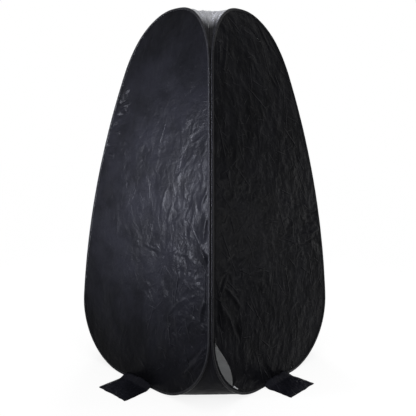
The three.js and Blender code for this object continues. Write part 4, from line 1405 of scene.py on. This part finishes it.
def floor_cloth():
    shares = np.linspace(0, 1, FLOOR_ROWS)
    line = corner_points(shares, FOOT_CORNER)
    way = outward(line, 1)
    way[0] = (0, -1)
    rows = rulings(line, way, 0.0, shares * 0)
    patches = corner_strips(rows, FLOOR_SEED, FLOOR_PUCKERS)
    ring = []
    for quarter in range(4):
        corner = quarter_turned(rows[0], quarter)
        ahead = quarter_turned(rows[0], (quarter + 1) % 4)
        share = np.linspace(0, 1, FLOOR_SIDE_POINTS)[1:-1, None]
        ring += [corner[::-1], corner[0] * (1 - share) + ahead[-1] * share]
    ring = np.concatenate([*ring, ring[0][:1]])
    reach = np.linspace(1, 0, FLOOR_RINGS)[:, None, None]
    grid = ring[None] * reach * [1, 1, 0] + [0, 0, ring[0, 2]]
    x, y = grid[..., 0], grid[..., 1]
    still = np.clip((1 - reach[..., 0]) * 14, 0, 1)
    bumps = layered_noise(x, y, BUMP_LAYERS, BUMP_SEED)
    grid[..., 2] += FLOOR_BUMPS * still * np.maximum(bumps + 0.35, 0)
    patches.append((grid, np.stack([x, y + 2], -1)))
    points, faces, flat = welded(patches)
    faces = [face[::-1] for face in faces]
    piece = new_piece("floor_cloth", points, faces, flat, [FLOOR_CLOTH, LINING])
    thickened(piece, FLOOR_THICKNESS, lined=True)
    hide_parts("floor_sheet")
    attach(piece, "tent")


# Weight pockets on the floor at the foot of each wall
POCKET_HALF = 0.105
POCKET_REACH = 0.17
POCKET_ROOT = 0.5038
POCKET_RISE = 0.022
POCKET_POINTS = 57, 47
POCKET_PUFF, POCKET_PUFF_MORE = 0.0075, 0.003
POCKET_FOLDS = 0.0035
POCKET_WRINKLES = 0.0012
POCKET_HEM = 0.0009
POCKET_LIFT = 0.0022
POCKET_TOP = 0.0016
POCKET_UNDER = 0.0004
POCKET_LAYERS_APART = 0.0008
POCKET_HEM_POINTS = 3
POCKET_STITCH_OUT = 0.0002
POCKET_SEED = 600

# Shift along the wall and reach out over the floor
FRONT_POCKET = 0.012, 0.160
OTHER_POCKET = 0.0, POCKET_REACH + 0.002


def pocket_layers(u, v, side, seed):
    """Top and under layer of a pocket from the wall, at v 0, out to its end, at v 1."""
    shift, reach = FRONT_POCKET if side == "front" else OTHER_POCKET
    rounding = 1 - 0.02 * smooth_share(v, 0.9, 1) ** 2
    edge = line_noise(v * 5, 0.5, seed) * 0.003 * v
    x = shift * smooth_share(v, 0, 0.4) + u * (POCKET_HALF * rounding) + edge * np.sign(u) * np.abs(u) ** 3
    end = 0.0032 * line_noise(u * 3.1, 0.5, seed + 1)
    y = v * (reach + end)
    rim = np.minimum(1 - np.abs(u), 1 - v)
    puff = POCKET_PUFF + POCKET_PUFF_MORE * lattice_noise(u * 2.2, v * 2.6, seed + 2)
    puff *= smooth_share(rim, 0.0, 0.35)
    fold = POCKET_FOLDS * np.abs(lattice_noise(u * 3.5 + v * 2, v * 5, seed + 3))
    fold *= smooth_share(rim, 0, 0.12)
    fold += POCKET_WRINKLES * lattice_noise(u * 10, v * 8, seed + 4) * smooth_share(rim, 0, 0.1)
    root = POCKET_RISE * (1 - smooth_share(v, 0.0, 0.24))
    root *= 1 + 0.25 * line_noise(u * 2.3, 0, seed + 5)
    root *= 1 - 0.35 * u**2
    hem = POCKET_HEM * smooth_share(rim, 0.05, 0.09)
    lift = POCKET_LIFT * np.maximum(lattice_noise(u * 3.1, v * 3.5, seed + 6), 0)
    lift *= smooth_share(v, 0.3, 1)
    top = POCKET_TOP + puff + fold + root + hem
    under = POCKET_UNDER + 0.94 * root + 0.1 * lift
    top = np.maximum(top + 0.5 * lift, under + POCKET_LAYERS_APART)
    return [np.stack([x, -(POCKET_ROOT + y), height], -1) for height in (top, under)]


def close_outward(piece):
    """Turns every face of a closed shell outwards."""
    shell = bmesh.new()
    shell.from_mesh(piece.data)
    bmesh.ops.recalc_face_normals(shell, faces=shell.faces)
    shell.to_mesh(piece.data)
    shell.free()


def hem_path(layer, inset):
    """Along one side of a pocket, its end and the other side."""
    sides = layer[2:-3, inset], layer[2:-3, -1 - inset][::-1]
    return np.concatenate([sides[0], layer[-3, inset:-inset], sides[1]])


def pocket(side, quarter):
    """Two layers of cloth sewn round their edge, hanging from the wall down to the floor."""
    columns, rows = POCKET_POINTS
    u, v = np.meshgrid(np.linspace(-1, 1, columns), np.linspace(0, 1, rows))
    top, under = pocket_layers(u, v, side, POCKET_SEED + 10 * quarter)
    grid = np.concatenate([top, under[:, ::-1], top[:, :1]], axis=1)
    flat_u = np.concatenate([u, 2.2 + u[:, ::-1], u[:, :1] + 4.4], axis=1) * POCKET_HALF
    flat_v = np.concatenate([v, v, v[:, :1]], axis=1) * POCKET_REACH
    flat = np.stack([flat_u + quarter * 0.7, flat_v], -1)
    patches = [(quarter_turned(grid, quarter), flat)]
    for row in (0, -1):
        end = quarter_turned(np.stack([top[row], under[row]]), quarter)
        patches.append((end, np.stack([flat[row, :columns]] * 2)))
    points, faces, flat = welded(patches)
    piece = new_piece(f"pocket_cloth_{side}", points, faces, flat, [POCKET_CLOTH])
    close_outward(piece)
    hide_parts(f"weight_pocket_{side}")
    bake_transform(piece)
    path = hem_path(top, POCKET_HEM_POINTS) + [0, 0, POCKET_STITCH_OUT]
    path = quarter_turned(path, quarter)
    out = np.tile([0.0, 0.0, 1.0], (len(path), 1))
    hem_row = bead_row(f"pocket_hem_{side}", [(path, out, False)], STITCH, THREAD)
    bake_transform(hem_row)


plain_walls()
door_wall()
bindings()
seams()
zip_parts()
roof()
corner_seams()
floor_cloth()
for pocket_side, pocket_quarter in QUARTERS.items():
    pocket(pocket_side, pocket_quarter)

# Hard pieces keep the frame's shape and get their finish
HARD_FINISHES = {
    "spring_wire": SPRING_STEEL,
    "wire_ferrule": SPRING_STEEL,
    "zip_slider_upper": DARK_ZIP_METAL,
    "zip_pull_upper": DARK_ZIP_METAL,
    "zip_slider_lower": ZIP_METAL,
    "zip_pull_lower": ZIP_METAL,
    "zip_stop": DARK_ZIP_METAL,
}
for node_name, node_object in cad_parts.items():
    for start, finish in HARD_FINISHES.items():
        if node_name.startswith(start):
            node_object.data.materials.clear()
            node_object.data.materials.append(finish)


# Floor, background and lights
WORLD_LIGHT = 0.35
FLOOR_GREY = (0.2, 0.2, 0.2, 1)
FLOOR_GLOW = 0.85
FLOOR_HALF = 14.0
FLOOR_BELOW = 0.0006
WHITE = (1, 1, 1, 1)
SILK_POWER, SILK_WIDTH, SILK_TILT = 1.3, math.radians(70), math.radians(12)

# Lamps: name, place, target, width, height, power, spread in degrees and tint
LAMPS = (
    ("left_softbox", (-2.8, 1.2, 1.34), (-0.5, -0.04, 1.06), 0.9, 1.2, 19.5, 25, (0.86, 0.88, 1.0)),
    ("crown_lamp", (-0.9, -0.9, 3.3), (-0.1, -0.1, 1.87), 0.5, 0.5, 0.22, 22, (1, 1, 1)),
    ("right_fill", (3.1, -1.4, 0.9), (0.0, -0.45, 0.85), 0.3, 1.3, 0.5, 70, (1, 1, 1)),
    ("front_fill", (1.5, -2.9, 0.8), (-0.1, -0.45, 0.75), 0.25, 0.9, 2.6, 60, (1, 1, 1)),
    ("back_fill", (2.2, 2.8, 2.0), (0.1, 0.3, 0.9), 1.2, 1.2, 14, 90, (1, 1, 1)),
    ("light_through_the_roof", (0, 0, 1.72), (0, 0, 0), 0.26, 0.26, 6, 180, (1, 1, 1)),
)


def seen_or_mirrored(tree):
    """1 where the camera looks, directly or by a reflection or through glass, and 0 elsewhere."""
    path = put(tree, "ShaderNodeLightPath", {}).outputs
    mirrored = maths(tree, "MAXIMUM", path["Is Glossy Ray"], path["Is Transmission Ray"])
    return maths(tree, "MAXIMUM", path["Is Camera Ray"], mirrored)


def background():
    world = bpy.data.worlds.new("studio")
    bpy.context.scene.world = world
    tree = emptied(world)
    strength = ramp(tree, seen_or_mirrored(tree), 0.0, 1.0, WORLD_LIGHT, 1.0)
    glow = put(tree, "ShaderNodeBackground", {"Color": WHITE, "Strength": strength})
    put(tree, "ShaderNodeOutputWorld", {"Surface": glow.outputs[0]})


def studio_floor():
    material = bpy.data.materials.new("studio_floor")
    tree = emptied(material)
    matte = put(tree, "ShaderNodeBsdfDiffuse", {"Color": FLOOR_GREY})
    strength = maths(tree, "MULTIPLY", seen_or_mirrored(tree), FLOOR_GLOW)
    glow = put(tree, "ShaderNodeEmission", {"Color": WHITE, "Strength": strength})
    both = put(tree, "ShaderNodeAddShader", {0: matte.outputs[0], 1: glow.outputs[0]})
    put(tree, "ShaderNodeOutputMaterial", {"Surface": both.outputs[0]})
    mesh = bpy.data.meshes.new("floor")
    corners = [(x * FLOOR_HALF, y * FLOOR_HALF, 0) for x, y in ((-1, -1), (1, -1), (1, 1), (-1, 1))]
    mesh.from_pydata(corners, [], [(0, 1, 2, 3)])
    mesh.transform(Matrix.Translation((0, 0, -FLOOR_BELOW)))
    mesh.materials.append(material)
    added("floor", mesh)


def area_light(name, place, target, width, height, power, spread, tint):
    data = bpy.data.lights.new(name, "AREA")
    data.energy, data.size = power, width
    data.spread, data.color = math.radians(spread), tint
    data.shape, data.size_y = "RECTANGLE", height
    light = added(name, data)
    light.location = place
    light.rotation_euler = (Vector(target) - Vector(place)).to_track_quat("-Z", "Y").to_euler()
    light.visible_camera = False


def overhead_silk():
    data = bpy.data.lights.new("overhead_silk", "SUN")
    data.energy, data.angle = SILK_POWER, SILK_WIDTH
    added("overhead_silk", data).rotation_euler = (SILK_TILT, -SILK_TILT, 0)


background()
studio_floor()
overhead_silk()
for lamp in LAMPS:
    area_light(*lamp)
bpy.context.scene.view_settings.view_transform = "Standard"
